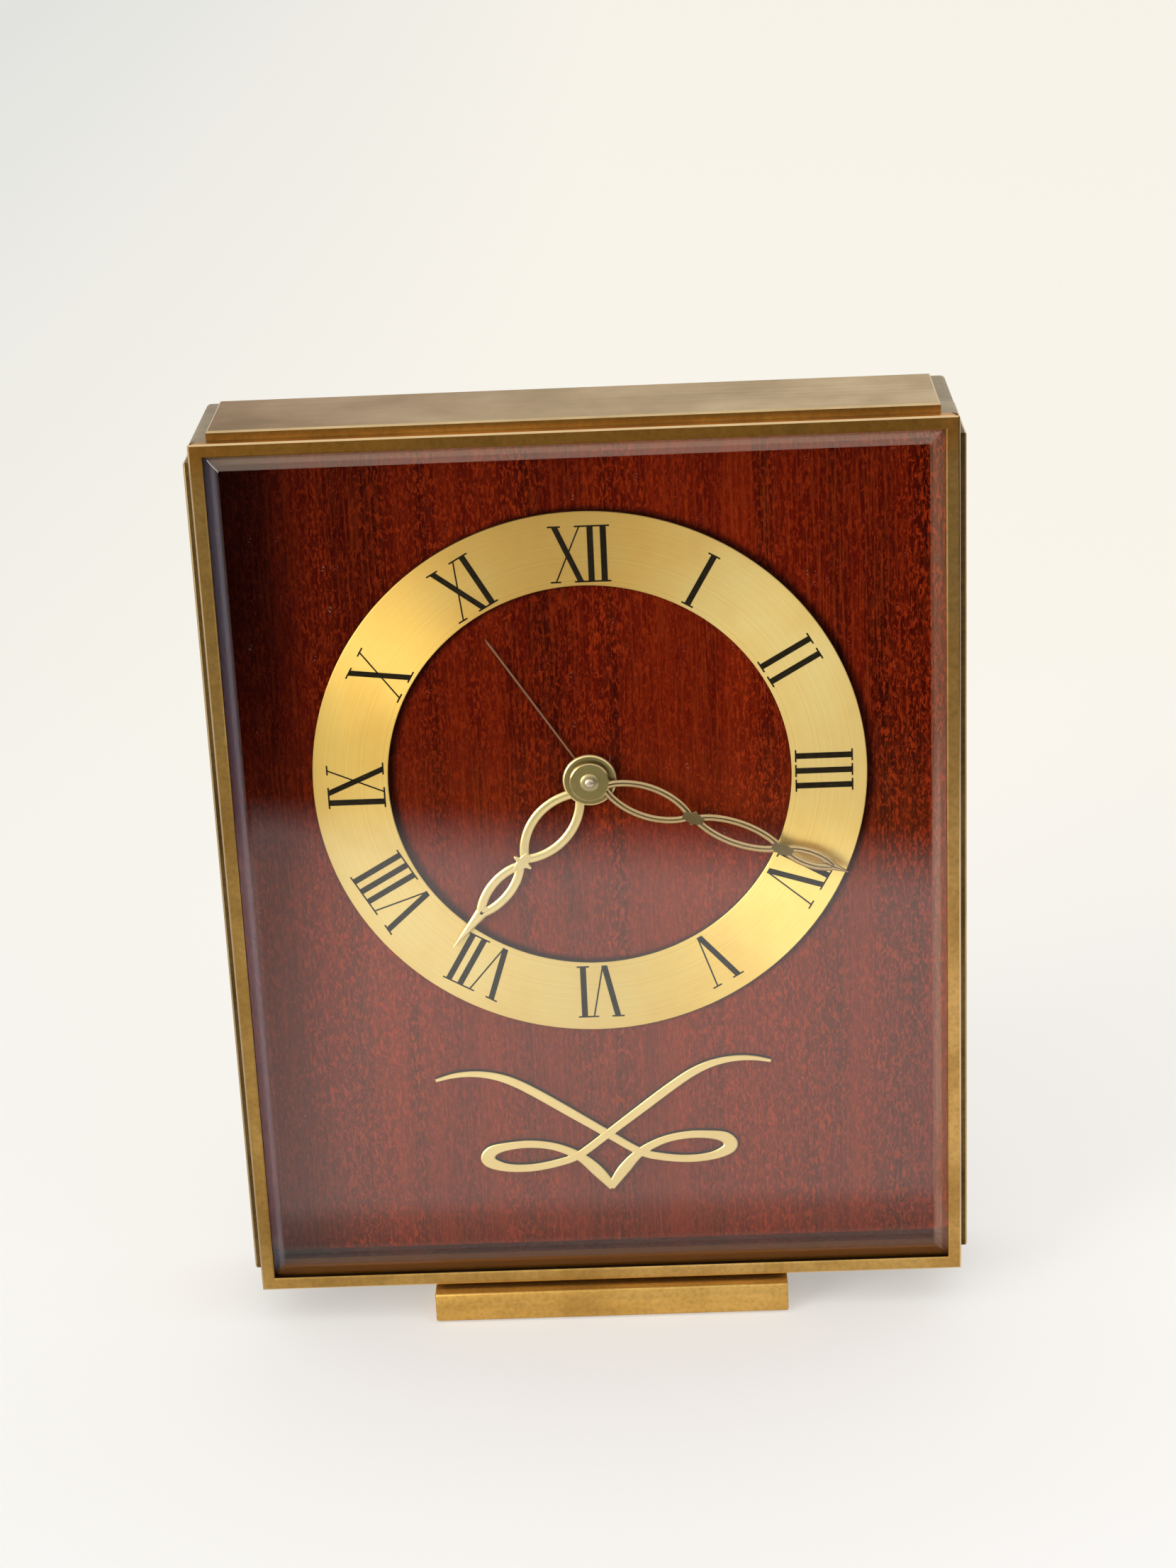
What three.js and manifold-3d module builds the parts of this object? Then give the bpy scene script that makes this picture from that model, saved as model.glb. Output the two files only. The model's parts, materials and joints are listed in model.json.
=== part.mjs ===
// Slim eight-day alarm clock for a desk: brass case on a low foot, mahogany dial, Roman chapter ring.
// Millimetres, +Z up, the dial faces -Y, origin in the middle of the foot's resting face.
import * as THREE from 'three';
import { mergeVertices } from 'three/addons/utils/BufferGeometryUtils.js';
import Module from 'manifold-3d';

// Case
const caseWidth = 120;
const caseHeight = 150;
const caseDepth = 25.5;
const bandWall = 1.2;
const bezelFace = 2.2;
const bezelLip = 1.0;
const bezelDepth = 1.75;
const bezelRim = 0.7;
const bezelRound = 0.6;
const cornerRadius = 0.8;
const panelInset = 2.8;
const panelProud = 1.5;
const sidePanelProud = 1.2;
const panelChamfer = 0.6;
const panelSetback = 0.45;
const panelDepth = 19.1;
const sidePanelBottom = 3.3;
const sidePanelTopGap = 3.4;
const lugSize = 8;
const fitGap = 0.3;

// Foot
const footWidth = 60.5;
const footDepth = 42;
const footThickness = 5.3;
const footChamfer = 0.35;
const footToe = 2;
const riserWidth = 50;
const riserDepth = 18;
const riserHeight = 0.8;
const riserSetback = 5.5;
const feltThickness = 1.0;
const feltProud = 0.3;
const feltMargin = 3;
const footScrewSpacing = 30;
const footScrewRadius = 1.5;
const footScrewHeadRadius = 3;
const footScrewHeadHeight = 1.6;
const nutBarLength = 44;
const nutBarWidth = 8;
const nutBarHeight = 2.5;

// Glass, spacer and dial
const glassThickness = 3;
const glassRecess = 0.3;
const glassBevel = 3;
const glassBevelDrop = 1.4;
const spacerWall = 0.8;
const dialDepth = 11;
const dialThickness = 1.2;
const dialCentreHeight = 88.7;
const ringOuterRadius = 45.57;
const ringInnerRadius = 33.19;
const ringThickness = 0.8;
const scrollHeight = 23.3;
const scrollShift = 0.35;
const scrollThickness = 1.0;
const scrollTilt = 1.7;

// Hands: the photograph's time and alarm setting, in degrees clockwise from twelve
const minuteAngle = 112.6;
const hourAngle = 219.6;
const alarmAngle = -32.8;
const handThickness = 0.4;
const alarmHandThickness = 0.3;
const handRingGap = 0.6;
const handGap = 0.5;
const alarmHandGap = 0.55;
const minuteHubRadius = 3.4;
const hourHubRadius = 4.45;
const alarmHubRadius = 4.1;
const alarmHandLength = 29.4;
const alarmHandRootWidth = 0.5;
const alarmHandTipWidth = 0.75;
const strandWidth = 1.15;
const handNeck = 0.75;
const hubNeck = 1.2;
const collarWaist = 0.25;
const collarReach = 0.6;
const collarFlat = 0.25;
const lensEnd = 0.9;
const lensSlit = 0.2;
const lensPoint = 0.12;

// Back cover, screws and sounding post
const coverThickness = 1.0;
const soundSlotCount = 3;
const soundSlotWidth = 6;
const soundSlotHeight = 20;
const soundSlotSpacing = 12;
const soundSlotMiddle = 21;
const coverScrewRadius = 1.0;
const coverScrewLength = 5;
const coverScrewHeadRadius = 2.6;
const coverScrewHeadHeight = 1.1;
const screwSlot = 0.7;
const postRadius = 1.2;
const postLength = 6.5;

// How far pieces of one solid run into each other, and how far a cutter passes a face
const lap = 0.2;
const cutterPass = 1;

// Movement plates and pillars
const plateRadius = 40;
const plateThickness = 0.9;
const plateSpacing = 6.4;
const motionSpace = 3.1;
const pillarCircle = 36;
const pillarRadius = 2;
const pillarNeckRadius = 1.2;
const pillarAngles = [90, 170, 5, 285];
const knobArborGap = 0.4;
const barrelArborGap = 0.45;

// Concentric arbors and pipes of the hands
const centreArborRadius = 1.0;
const centreTipRadius = 0.8;
const arborTipReach = 0.7;
const pipeGap = 0.3;
const cannonWall = 0.5;
const hourPipeWall = 0.4;
const alarmPipeWall = 0.4;
const pipeReach = 0.15;
const alarmPipeReach = 0.1;

// Wheels: tooth counts, and tip radius for each wheel and pinion
const meshGap = 0.3;
const toothDepth = 0.6;
const pinionToothDepth = 0.3;
const motionPinionToothDepth = 0.36;
const escapeToothDepth = 1.08;
const starToothDepth = 0.9;
const wheelThickness = 0.5;
const pivotRadius = 0.6;
const pivotSides = 8;
const barrelTeeth = 80;
const barrelRadius = 16;
const centrePinionTeeth = 8;
const centrePinionRadius = 1.6;
const centreWheelTeeth = 64;
const centreWheelRadius = 9.6;
const thirdPinionTeeth = 8;
const thirdPinionRadius = 1.2;
const thirdWheelTeeth = 60;
const thirdWheelRadius = 8.4;
const fourthPinionTeeth = 8;
const fourthPinionRadius = 1.12;
const fourthWheelTeeth = 60;
const fourthWheelRadius = 7.5;
const escapePinionTeeth = 6;
const escapePinionRadius = 0.9;
const escapeWheelTeeth = 15;
const escapeWheelRadius = 4.5;
const cannonTeeth = 12;
const cannonRadius = 2.4;
const motionTeeth = 36;
const motionRadius = 7.2;
const motionPinionTeeth = 10;
const hourTeeth = 40;
const alarmWheelTeeth = 44;
const alarmWheelRadius = 11;
const alarmPinionTeeth = 11;
const alarmPinionRadius = 2.75;
const starPinionTeeth = 8;
const starPinionRadius = 1.2;
const starTeeth = 16;
const starRadius = 4;
const ratchetTeeth = 24;
const goingRatchetRadius = 6;
const alarmRatchetRadius = 5;
const ratchetToothDepth = 0.7;

// Barrels and mainsprings
const barrelWall = 0.8;
const barrelFlange = 1.2;
const barrelGearThickness = 0.6;
const alarmBarrelTeeth = 64;
const alarmBarrelRadius = 12.5;
const barrelArborRadius = 1.5;
const barrelCoreRadius = 3.2;
const mainspringTurns = 4;
const mainspringThickness = 0.5;
const clickHubRadius = 1.8;
const clickLean = 40;
const clickGap = 0.45;

// Escapement
const leverDistance = 6.15;
const balanceDistance = 9.1;
const balanceRadius = 7.2;
const balanceRim = 1.1;
const spokeWidth = 1.1;
const forkGap = 0.5;
const palletGap = 0.5;
const balanceThickness = 0.8;
const rollerRadius = 1.4;
const hairspringTurns = 4;
const hairspringRadius = 5;
const hairspringThickness = 0.25;
const hairspringStart = 0.95;

// Places of the wheels, as directions in degrees from +X towards +Z
const goingBarrelAngle = -45;
const thirdAngle = 62;
const fourthAngle = 150;
const escapeAngle = 120;
const leverAngle = 12.5;
const motionAngle = 100;
const handSetAngle = 172;
const alarmSetAngle = 182;
const alarmBarrelPlace = [-17.5, -19.5];
const starAngle = -45;
const hammerPlace = [0, -29.5];
const clickReach = 9;
const goingClickAngle = -60;
const alarmClickAngle = -100;

// Alarm hammer and stop button
const hammerArm = 16.5;
const hammerHeadRadius = 3;
const hammerHeadGap = 0.4;
const hammerArmThickness = 0.8;
const hammerSwing = 8;
const stopRadius = 1.2;
const stopCollarRadius = 2;
const stopCollarHeight = 0.6;
const stopHeadRadius = 3.2;
const stopHeadHeight = 2.3;
const stopTravel = 2.8;

// Keys and knobs on the back
const backGap = 0.5;
const keyHubRadius = 3.6;
const keyHubLength = 6;
const keySocketDepth = 2;
const keyPinSetback = 1.7;
const keyForkDepth = 3.5;
const keyForkGap = 3.2;
const keyPinRadius = 0.7;
const keyBowThickness = 1.2;
const keyBowLength = 11;
const keyBowWidth = 15;
const keyBowClearance = 0.8;
const keyBowRim = 1.45;
const keyEyeWall = 0.5;
const knobRadius = 4.3;
const knobLength = 6;
const knobFlutes = 18;
const knobFluteDepth = 0.35;
const knobEndLength = 0.6;
const knobEndStep = 0.8;
const knobArborRadius = 0.7;
const regulatorThickness = 0.4;
const regulatorRing = 3;
const regulatorReach = 11;
const regulatorPinRadius = 0.6;
const regulatorSwing = 12;
const slotSpare = 3;
const regulatorBoss = 1.6;

const footBottom = feltProud;
const footTop = footBottom + footThickness;
const caseBottom = footTop + riserHeight;
const caseTop = caseBottom + caseHeight;
const caseMiddle = (caseBottom + caseTop) / 2;
const caseFront = footToe - footDepth / 2;
const bandFront = caseFront + bezelDepth;
const caseBack = caseFront + caseDepth;
const innerHalfWidth = caseWidth / 2 - bandWall;
const innerHalfHeight = caseHeight / 2 - bandWall;
const dialZ = caseBottom + dialCentreHeight;

const glassFront = caseFront + glassRecess;
const glassBack = glassFront + glassThickness;
const dialFront = caseFront + dialDepth;
const dialBack = dialFront + dialThickness;
const ringFront = dialFront - ringThickness;
const hourHandFront = ringFront - handRingGap - handThickness;
const minuteHandFront = hourHandFront - handGap - handThickness;
const alarmHandFront = dialFront - alarmHandGap - alarmHandThickness;

const frontPlateFront = dialBack + motionSpace;
const frontPlateBack = frontPlateFront + plateThickness;
const backPlateFront = frontPlateBack + plateSpacing;
const backPlateBack = backPlateFront + plateThickness;
const coverFront = caseBack - coverThickness;

// Levels of the wheels: four between the plates, three in the motion work
const levelStep = (plateSpacing - wheelThickness) / 4.2;
const levelA = frontPlateBack + wheelThickness;
const levelB = levelA + levelStep;
const levelC = levelB + levelStep;
const levelD = levelC + levelStep;
const motionStep = (motionSpace - wheelThickness) / 2.6;
const alarmLevel = dialBack + fitGap;
const hourLevel = alarmLevel + motionStep;
const motionLevel = hourLevel + motionStep;

const brass = { color: 0xa67c3d, roughness: 0.38, metalness: 0.9 };
const goldPlate = { color: 0xe0b860, roughness: 0.3, metalness: 0.95 };
const steel = { color: 0x9aa0a6, roughness: 0.35, metalness: 0.95 };
const blueSteel = { color: 0x2b3350, roughness: 0.3, metalness: 0.9 };
const mahogany = { color: 0x4a120a, roughness: 0.25, metalness: 0 };
const clearGlass = { color: 0xffffff, roughness: 0.02, metalness: 0, transparent: true, opacity: 0.2 };
const feltCloth = { color: 0x2d4a35, roughness: 0.95, metalness: 0 };

const wasm = await Module();
wasm.setup();

const clock = new THREE.Group();

function add(name, geometry, look, place = [0, 0]) {
  const mesh = new THREE.Mesh(geometry, new THREE.MeshStandardMaterial(look));
  mesh.name = name;
  mesh.position.set(place[0], 0, place[1]);
  clock.add(mesh);
  return mesh;
}

// Booleans
function solidOf(geometry) {
  const bare = geometry.clone();
  bare.deleteAttribute('normal');
  bare.deleteAttribute('uv');
  const merged = mergeVertices(bare, 1e-5);
  return new wasm.Manifold(new wasm.Mesh({
    numProp: 3,
    vertProperties: new Float32Array(merged.attributes.position.array),
    triVerts: new Uint32Array(merged.index.array),
  }));
}

function geometryOf(solid) {
  const mesh = solid.getMesh();
  const geometry = new THREE.BufferGeometry();
  geometry.setAttribute('position', new THREE.BufferAttribute(new Float32Array(mesh.vertProperties), 3));
  geometry.setIndex(new THREE.BufferAttribute(new Uint32Array(mesh.triVerts), 1));
  return geometry;
}

function join(first, ...others) {
  return geometryOf(others.reduce((sum, other) => sum.add(solidOf(other)), solidOf(first)));
}

function cut(first, ...others) {
  return geometryOf(others.reduce((rest, other) => rest.subtract(solidOf(other)), solidOf(first)));
}

// Shapes
function polar(distance, degrees, from = [0, 0]) {
  const angle = THREE.MathUtils.degToRad(degrees);
  return [from[0] + distance * Math.cos(angle), from[1] + distance * Math.sin(angle)];
}

function circle(radius, centre = [0, 0]) {
  return new THREE.Path().absarc(centre[0], centre[1], radius, 0, Math.PI * 2, true);
}

function disc(radius, ...holes) {
  const shape = new THREE.Shape().absarc(0, 0, radius, 0, Math.PI * 2, false);
  shape.holes.push(...holes);
  return shape;
}

function polygon(points, ...holes) {
  const shape = new THREE.Shape(points.map(([x, y]) => new THREE.Vector2(x, y)));
  shape.holes.push(...holes);
  return shape;
}

// A flat piece whose shape stands in the XZ plane, from front to front + thickness along Y
function plate(shape, front, thickness, curveSegments = 8) {
  const geometry = new THREE.ExtrudeGeometry(shape, { depth: thickness, bevelEnabled: false, curveSegments });
  geometry.rotateX(Math.PI / 2);
  geometry.translate(0, front + thickness, 0);
  return geometry;
}

function lathe(profile, segments) {
  return new THREE.LatheGeometry(profile.map(([r, y]) => new THREE.Vector2(r, y)), segments);
}

function rod(radius, from, to, segments = 12) {
  return new THREE.CylinderGeometry(radius, radius, to - from, segments).translate(0, (from + to) / 2, 0);
}

function uprightRod(radius, from, to, segments = 12) {
  return rod(radius, from, to, segments).rotateX(Math.PI / 2);
}

function box(width, depth, height, x, y, z) {
  return new THREE.BoxGeometry(width, depth, height).translate(x, y, z);
}

function tube(innerRadius, outerRadius, from, to, segments = 7) {
  return plate(disc(outerRadius, circle(innerRadius)), from, to - from, segments);
}

// Loops of a rounded rectangle, shrunk by an inset, used for plates and frames with dressed edges
const cornerSteps = 3;

function rectangleLoop(width, height, inset) {
  const radius = Math.max(cornerRadius - inset, 0.15);
  const halfWidth = width / 2 - inset - radius;
  const halfHeight = height / 2 - inset - radius;
  const corners = [
    [halfWidth, halfHeight], [-halfWidth, halfHeight], [-halfWidth, -halfHeight], [halfWidth, -halfHeight],
  ];
  return corners.flatMap((corner, quarter) => Array.from({ length: cornerSteps + 1 },
    (_, step) => polar(radius, 90 * (quarter + step / cornerSteps), corner)));
}

// Layers are [inset, level] pairs; the loops lie in XZ at each level along Y, front first
function loft(width, height, layers, hollow) {
  const loops = layers.map(([inset, level]) => (
    rectangleLoop(width, height, inset).map(([x, z]) => [x, level, z])));
  const count = loops[0].length;
  const index = [];
  const pairs = hollow ? loops.length : loops.length - 1;
  for (let layer = 0; layer < pairs; layer += 1) {
    const near = layer * count;
    const far = ((layer + 1) % loops.length) * count;
    for (let i = 0; i < count; i += 1) {
      const next = (i + 1) % count;
      index.push(near + i, far + next, near + next, near + i, far + i, far + next);
    }
  }
  if (!hollow) {
    const last = (loops.length - 1) * count;
    for (let i = 1; i < count - 1; i += 1) {
      index.push(0, i, i + 1, last, last + i + 1, last + i);
    }
  }
  const geometry = new THREE.BufferGeometry();
  geometry.setAttribute('position', new THREE.Float32BufferAttribute(loops.flat(2), 3));
  geometry.setIndex(index);
  return geometry;
}

function slab(width, height, front, back, edge) {
  return loft(width, height, [[edge, front], [0, front + edge], [0, back]], false);
}

// A toothed wheel: two points for each tooth
function gear(teeth, tipRadius, depth, boreRadius, boreSegments = 14) {
  const points = Array.from({ length: teeth * 2 }, (_, i) => (
    polar(i % 2 ? tipRadius - depth : tipRadius, (i * 180) / teeth)));
  if (boreRadius === 0) return polygon(points);
  const bore = Array.from({ length: boreSegments }, (_, i) => polar(boreRadius, (-i * 360) / boreSegments));
  return polygon(points, new THREE.Path(bore.map(([x, y]) => new THREE.Vector2(x, y))));
}

// A flat spring: a strip of even thickness wound outwards at a steady rate
function spiral(innerRadius, outerRadius, turns, thickness) {
  const stepsPerTurn = 14;
  const steps = turns * stepsPerTurn;
  const edge = (offset) => Array.from({ length: steps + 1 }, (_, i) => (
    polar(innerRadius + ((outerRadius - innerRadius) * i) / steps + offset, (i * 360) / stepsPerTurn)));
  return polygon([...edge(thickness), ...edge(0).reverse()]);
}

// Case: bezel, band, panels
function makeCase() {
  const lipInset = bezelFace;
  const rimInset = bezelRim;
  add('front_bezel', loft(caseWidth, caseHeight, [
    [bezelRound, caseFront],
    [bezelRound * 0.3, caseFront + bezelRound * 0.3],
    [0, caseFront + bezelRound],
    [0, bandFront],
    [rimInset, bandFront],
    [rimInset, caseFront + bezelLip],
    [lipInset, caseFront + bezelLip],
    [lipInset, caseFront + bezelRound * 0.3],
    [lipInset - bezelRound * 0.3, caseFront],
  ], true).translate(0, 0, caseMiddle), brass);

  const bandShell = loft(caseWidth, caseHeight, [
    [0, bandFront], [0, caseBack], [bandWall, caseBack], [bandWall, bandFront],
  ], true);
  const lugLength = coverFront - dialBack;
  const lugs = cornerPlaces(lugSize / 2).map(([x, z]) => (
    cut(
      box(lugSize + bandWall, lugLength, lugSize + bandWall, x + Math.sign(x) * bandWall / 2,
        dialBack + lugLength / 2, z + Math.sign(z) * bandWall / 2),
      rod(coverScrewRadius + fitGap, coverFront - coverScrewLength - fitGap, coverFront + cutterPass)
        .translate(x, 0, z),
    )));
  const bandBottom = -caseHeight / 2;
  const footHoles = footScrewPlaces().map((x) => (
    uprightRod(footScrewRadius + fitGap, bandBottom - cutterPass, bandBottom + bandWall + cutterPass)
      .translate(x, footScrewY(), 0)));
  const trim = loft(caseWidth, caseHeight, [[0, bandFront], [0, caseBack]], false);
  const lugSolid = lugs.map((lug) => geometryOf(solidOf(lug).intersect(solidOf(trim))));
  add('case_band', cut(join(bandShell, ...lugSolid), ...footHoles).translate(0, 0, caseMiddle), brass);

  const panelMiddle = bandFront + panelSetback + panelDepth / 2;
  const topPanel = slab(caseWidth - 2 * panelInset, panelDepth, -panelProud, 0, panelChamfer)
    .rotateX(-Math.PI / 2).translate(0, panelMiddle, caseTop);
  add('top_panel', topPanel, brass);
  const sideHeight = caseHeight - sidePanelBottom - sidePanelTopGap;
  const sideMiddle = caseBottom + sidePanelBottom + sideHeight / 2;
  [['left', -1], ['right', 1]].forEach(([side, sign]) => {
    const panel = slab(panelDepth, sideHeight, -sidePanelProud, 0, panelChamfer)
      .rotateZ(sign * Math.PI / 2).translate(sign * caseWidth / 2, panelMiddle, sideMiddle);
    add(`${side}_side_panel`, panel, brass);
  });
}

// The four places at the corners of the band, a given way in from its walls, about the case's middle
function cornerPlaces(inset) {
  const x = innerHalfWidth - inset;
  const z = innerHalfHeight - inset;
  return [[-x, z], [x, z], [-x, -z], [x, -z]];
}

function footScrewPlaces() {
  return [-footScrewSpacing / 2, footScrewSpacing / 2];
}

function footScrewY() {
  return (dialBack + coverFront) / 2;
}

// A screw head and shank along +Y from the head's bearing face, with a driver slot
function screw(shankRadius, shankLength, headRadius, headHeight) {
  const turned = lathe([
    [0, -shankLength], [shankRadius, -shankLength], [shankRadius, 0], [headRadius, 0],
    [headRadius, headHeight * 0.6], [headRadius * 0.8, headHeight], [0, headHeight],
  ], 14);
  return cut(turned, box(headRadius * 3, headHeight, screwSlot, 0, headHeight, 0));
}

// Foot, riser, felt, nut bar and the two screws from below
function makeFoot() {
  const screwY = footScrewY();
  const feltWidth = footWidth - 2 * feltMargin;
  const feltDepth = footDepth - 2 * feltMargin;
  const headTop = feltThickness + footScrewHeadHeight + fitGap;
  const holes = footScrewPlaces().flatMap((x) => [
    uprightRod(footScrewRadius + fitGap, 0, footTop + cutterPass).translate(x, screwY, 0),
    uprightRod(footScrewHeadRadius + fitGap, 0, headTop).translate(x, screwY, 0),
  ]);
  const footSlab = slab(footWidth, footDepth, -footTop, -footBottom, footChamfer).rotateX(-Math.PI / 2);
  const recess = box(feltWidth, feltDepth, feltThickness * 2, 0, 0, 0);
  add('foot_plate', cut(footSlab, recess, ...holes), brass);
  const felt = box(feltWidth - 2 * fitGap, feltDepth - 2 * fitGap, feltThickness, 0, 0, feltThickness / 2);
  add('foot_felt', felt, feltCloth);

  const riserY = caseFront + riserSetback + riserDepth / 2;
  const riser = box(riserWidth, riserDepth, riserHeight, 0, riserY, footTop + riserHeight / 2);
  add('foot_riser', cut(riser, ...holes), brass);

  const barBottom = caseBottom + bandWall;
  const bar = box(nutBarLength, nutBarWidth, nutBarHeight, 0, screwY, barBottom + nutBarHeight / 2);
  const barHoles = footScrewPlaces().map((x) => (
    uprightRod(footScrewRadius + fitGap, barBottom - cutterPass, barBottom + nutBarHeight + cutterPass)
      .translate(x, screwY, 0)));
  add('foot_nut_bar', cut(bar, ...barHoles), steel);

  const reach = barBottom + nutBarHeight - headTop;
  [['left', -1], ['right', 1]].forEach(([side, sign]) => {
    const footScrew = screw(footScrewRadius, reach, footScrewHeadRadius, footScrewHeadHeight)
      .rotateX(-Math.PI / 2).translate(sign * footScrewSpacing / 2, screwY, headTop);
    add(`foot_screw_${side}`, footScrew, steel);
  });
}

// Glass with a ground bevel, and the frame that keeps it off the dial
function makeFront() {
  const clear = bandWall + fitGap;
  add('front_glass', loft(caseWidth, caseHeight, [
    [clear + glassBevel, glassFront], [clear, glassFront + glassBevelDrop], [clear, glassBack],
  ], false).translate(0, 0, caseMiddle), clearGlass);
  add('glass_spacer', loft(caseWidth, caseHeight, [
    [clear, glassBack], [clear, dialFront], [clear + spacerWall, dialFront], [clear + spacerWall, glassBack],
  ], true).translate(0, 0, caseMiddle), brass);
}

// Dial board, chapter ring and ornament
function makeDial() {
  const clear = bandWall + fitGap;
  const board = loft(caseWidth, caseHeight, [[clear, dialFront], [clear, dialBack]], false)
    .translate(0, 0, caseMiddle);
  const pipeHole = rod(pipeRadii().alarmOuter + pipeGap, dialFront - cutterPass, dialBack + cutterPass, 20)
    .translate(0, 0, dialZ);
  add('dial_board', cut(board, pipeHole), mahogany);
  const ring = disc(ringOuterRadius, circle(ringInnerRadius));
  add('chapter_ring', plate(ring, ringFront, ringThickness, 48), goldPlate, [0, dialZ]);
  makeScroll();
}

// A pen stroke: a smooth centre line with a width at each point, as a flat plate
function stroke(points, front, thickness, steps) {
  const centres = points.map(([x, z]) => new THREE.Vector3(x, z, 0));
  const line = new THREE.CatmullRomCurve3(centres, false, 'centripetal');
  const widths = points.map(([, , width]) => width);
  const sides = [[], []];
  for (let i = 0; i <= steps; i += 1) {
    const along = i / steps;
    const at = line.getPoint(along);
    const direction = line.getTangent(along);
    const place = along * (widths.length - 1);
    const before = Math.min(Math.floor(place), widths.length - 2);
    const width = THREE.MathUtils.lerp(widths[before], widths[before + 1], place - before);
    sides[0].push([at.x - direction.y * width / 2, at.y + direction.x * width / 2]);
    sides[1].push([at.x + direction.y * width / 2, at.y - direction.x * width / 2]);
  }
  return plate(polygon([...sides[1], ...sides[0].reverse()]), front, thickness);
}

// Half of the ornament as [x, z, width] about the crossing of the arms: arm, loop, then the lower tip
const scrollHalf = [
  [28.6, 12.1, 0.5], [25.5, 12.8, 0.8], [22.2, 12.9, 1.0], [18.8, 12.3, 1.2], [15.4, 10.9, 1.4],
  [11.5, 8.4, 1.5], [6, 4.4, 1.5], [0, 0, 1.35], [-5.2, -3.7, 1.3], [-9, -5.0, 1.3], [-13.5, -5.65, 1.3],
  [-17.5, -5.4, 1.4], [-20.2, -4.4, 1.9], [-20.9, -3.3, 2.3], [-20, -2.0, 1.9], [-17.5, -1.3, 1.4],
  [-13.5, -1.1, 1.3], [-9.2, -1.9, 1.3], [-5.2, -4.0, 1.5], [-2.2, -7.1, 1.9], [0.15, -10.3, 1.2],
];

function makeScroll() {
  const front = dialFront - scrollThickness;
  const steps = (scrollHalf.length - 1) * 2;
  const right = stroke(scrollHalf, front, scrollThickness, steps);
  const left = stroke(scrollHalf.map(([x, z, width]) => [-x, z, width]), front, scrollThickness, steps);
  const ornament = join(right, left).rotateY(-THREE.MathUtils.degToRad(scrollTilt));
  add('scroll_ornament', ornament, goldPlate, [scrollShift, caseBottom + scrollHeight]);
}

// Radii of the nested pipes that carry the hands
function pipeRadii() {
  const cannonInner = centreTipRadius + pipeGap;
  const cannonOuter = cannonInner + cannonWall;
  const hourInner = cannonOuter + pipeGap;
  const hourOuter = hourInner + hourPipeWall;
  const alarmInner = hourOuter + pipeGap;
  const alarmOuter = alarmInner + alarmPipeWall;
  return { cannonInner, cannonOuter, hourInner, hourOuter, alarmInner, alarmOuter };
}

// Half the width of a lens-shaped loop [from, to, half width] at a radius along the hand
function lensWidth([from, to, half], radius) {
  return handNeck + (half - handNeck) * Math.sin((Math.PI * (radius - from)) / (to - from));
}

// A pierced hand pointing up: hub, lens-shaped loops, collars and a tip
function piercedHand(hubRadius, boreRadius, loops, collars, tip) {
  const lensSteps = 10;
  const right = [];
  const holes = [circle(boreRadius)];
  loops.forEach((loop, number) => {
    const [from, to] = loop;
    const start = number === 0 ? hubRadius * 0.9 : from;
    for (let i = 0; i <= lensSteps; i += 1) {
      const radius = start + ((to - start) * i) / lensSteps;
      const width = lensWidth(loop, radius);
      right.push([number === 0 && i === 0 ? Math.max(width, hubNeck) : width, radius]);
    }
    if (collars[number]) {
      const [centre, halfWidth] = collars[number];
      right.push(
        [handNeck + collarWaist, centre - collarReach], [halfWidth, centre - collarFlat],
        [halfWidth, centre + collarFlat], [handNeck + collarWaist, centre + collarReach],
      );
    }
    const holeFrom = number === 0 ? hubRadius + collarWaist : from + lensEnd;
    const holeTo = to - lensEnd;
    const lens = [];
    for (let i = 0; i <= lensSteps; i += 1) {
      const radius = holeFrom + ((holeTo - holeFrom) * i) / lensSteps;
      const least = i === 0 || i === lensSteps ? lensPoint : lensSlit;
      lens.push([Math.max(lensWidth(loop, radius) - strandWidth, least), radius]);
    }
    const outline = [...lens, ...lens.map(([x, z]) => [-x, z]).reverse()];
    holes.push(new THREE.Path(outline.reverse().map(([x, y]) => new THREE.Vector2(x, y))));
  });
  right.push(...tip);
  const point = right.pop();
  const left = right.map(([x, z]) => [-x, z]).reverse();
  const startAngle = Math.atan2(right[0][1], right[0][0]);
  const hubSteps = 20;
  const sweep = 2 * Math.PI - (Math.PI - 2 * startAngle);
  const hub = Array.from({ length: hubSteps + 1 }, (_, i) => {
    const angle = Math.PI - startAngle + (sweep * i) / hubSteps;
    return [hubRadius * Math.cos(angle), hubRadius * Math.sin(angle)];
  });
  return polygon([...right.slice(1), point, ...left.slice(0, -1), ...hub], ...holes);
}

const minuteLoops = [[3.2, 17.4, 3.15], [19.0, 33.1, 2.4], [34.7, 42.6, 1.7]];
const minuteCollars = [[18.2, 1.75], [33.9, 1.4]];
const minuteTip = [[0.75, 42.8], [0, 45.6]];
const hourLoops = [[3.6, 17.6, 3.85], [19.2, 30.0, 2.25]];
const hourCollars = [[18.4, 1.95]];
const hourTip = [[1.0, 31.0], [0, 37.7]];

function turnClockwise(geometry, degrees) {
  return geometry.rotateY(THREE.MathUtils.degToRad(degrees));
}

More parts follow.
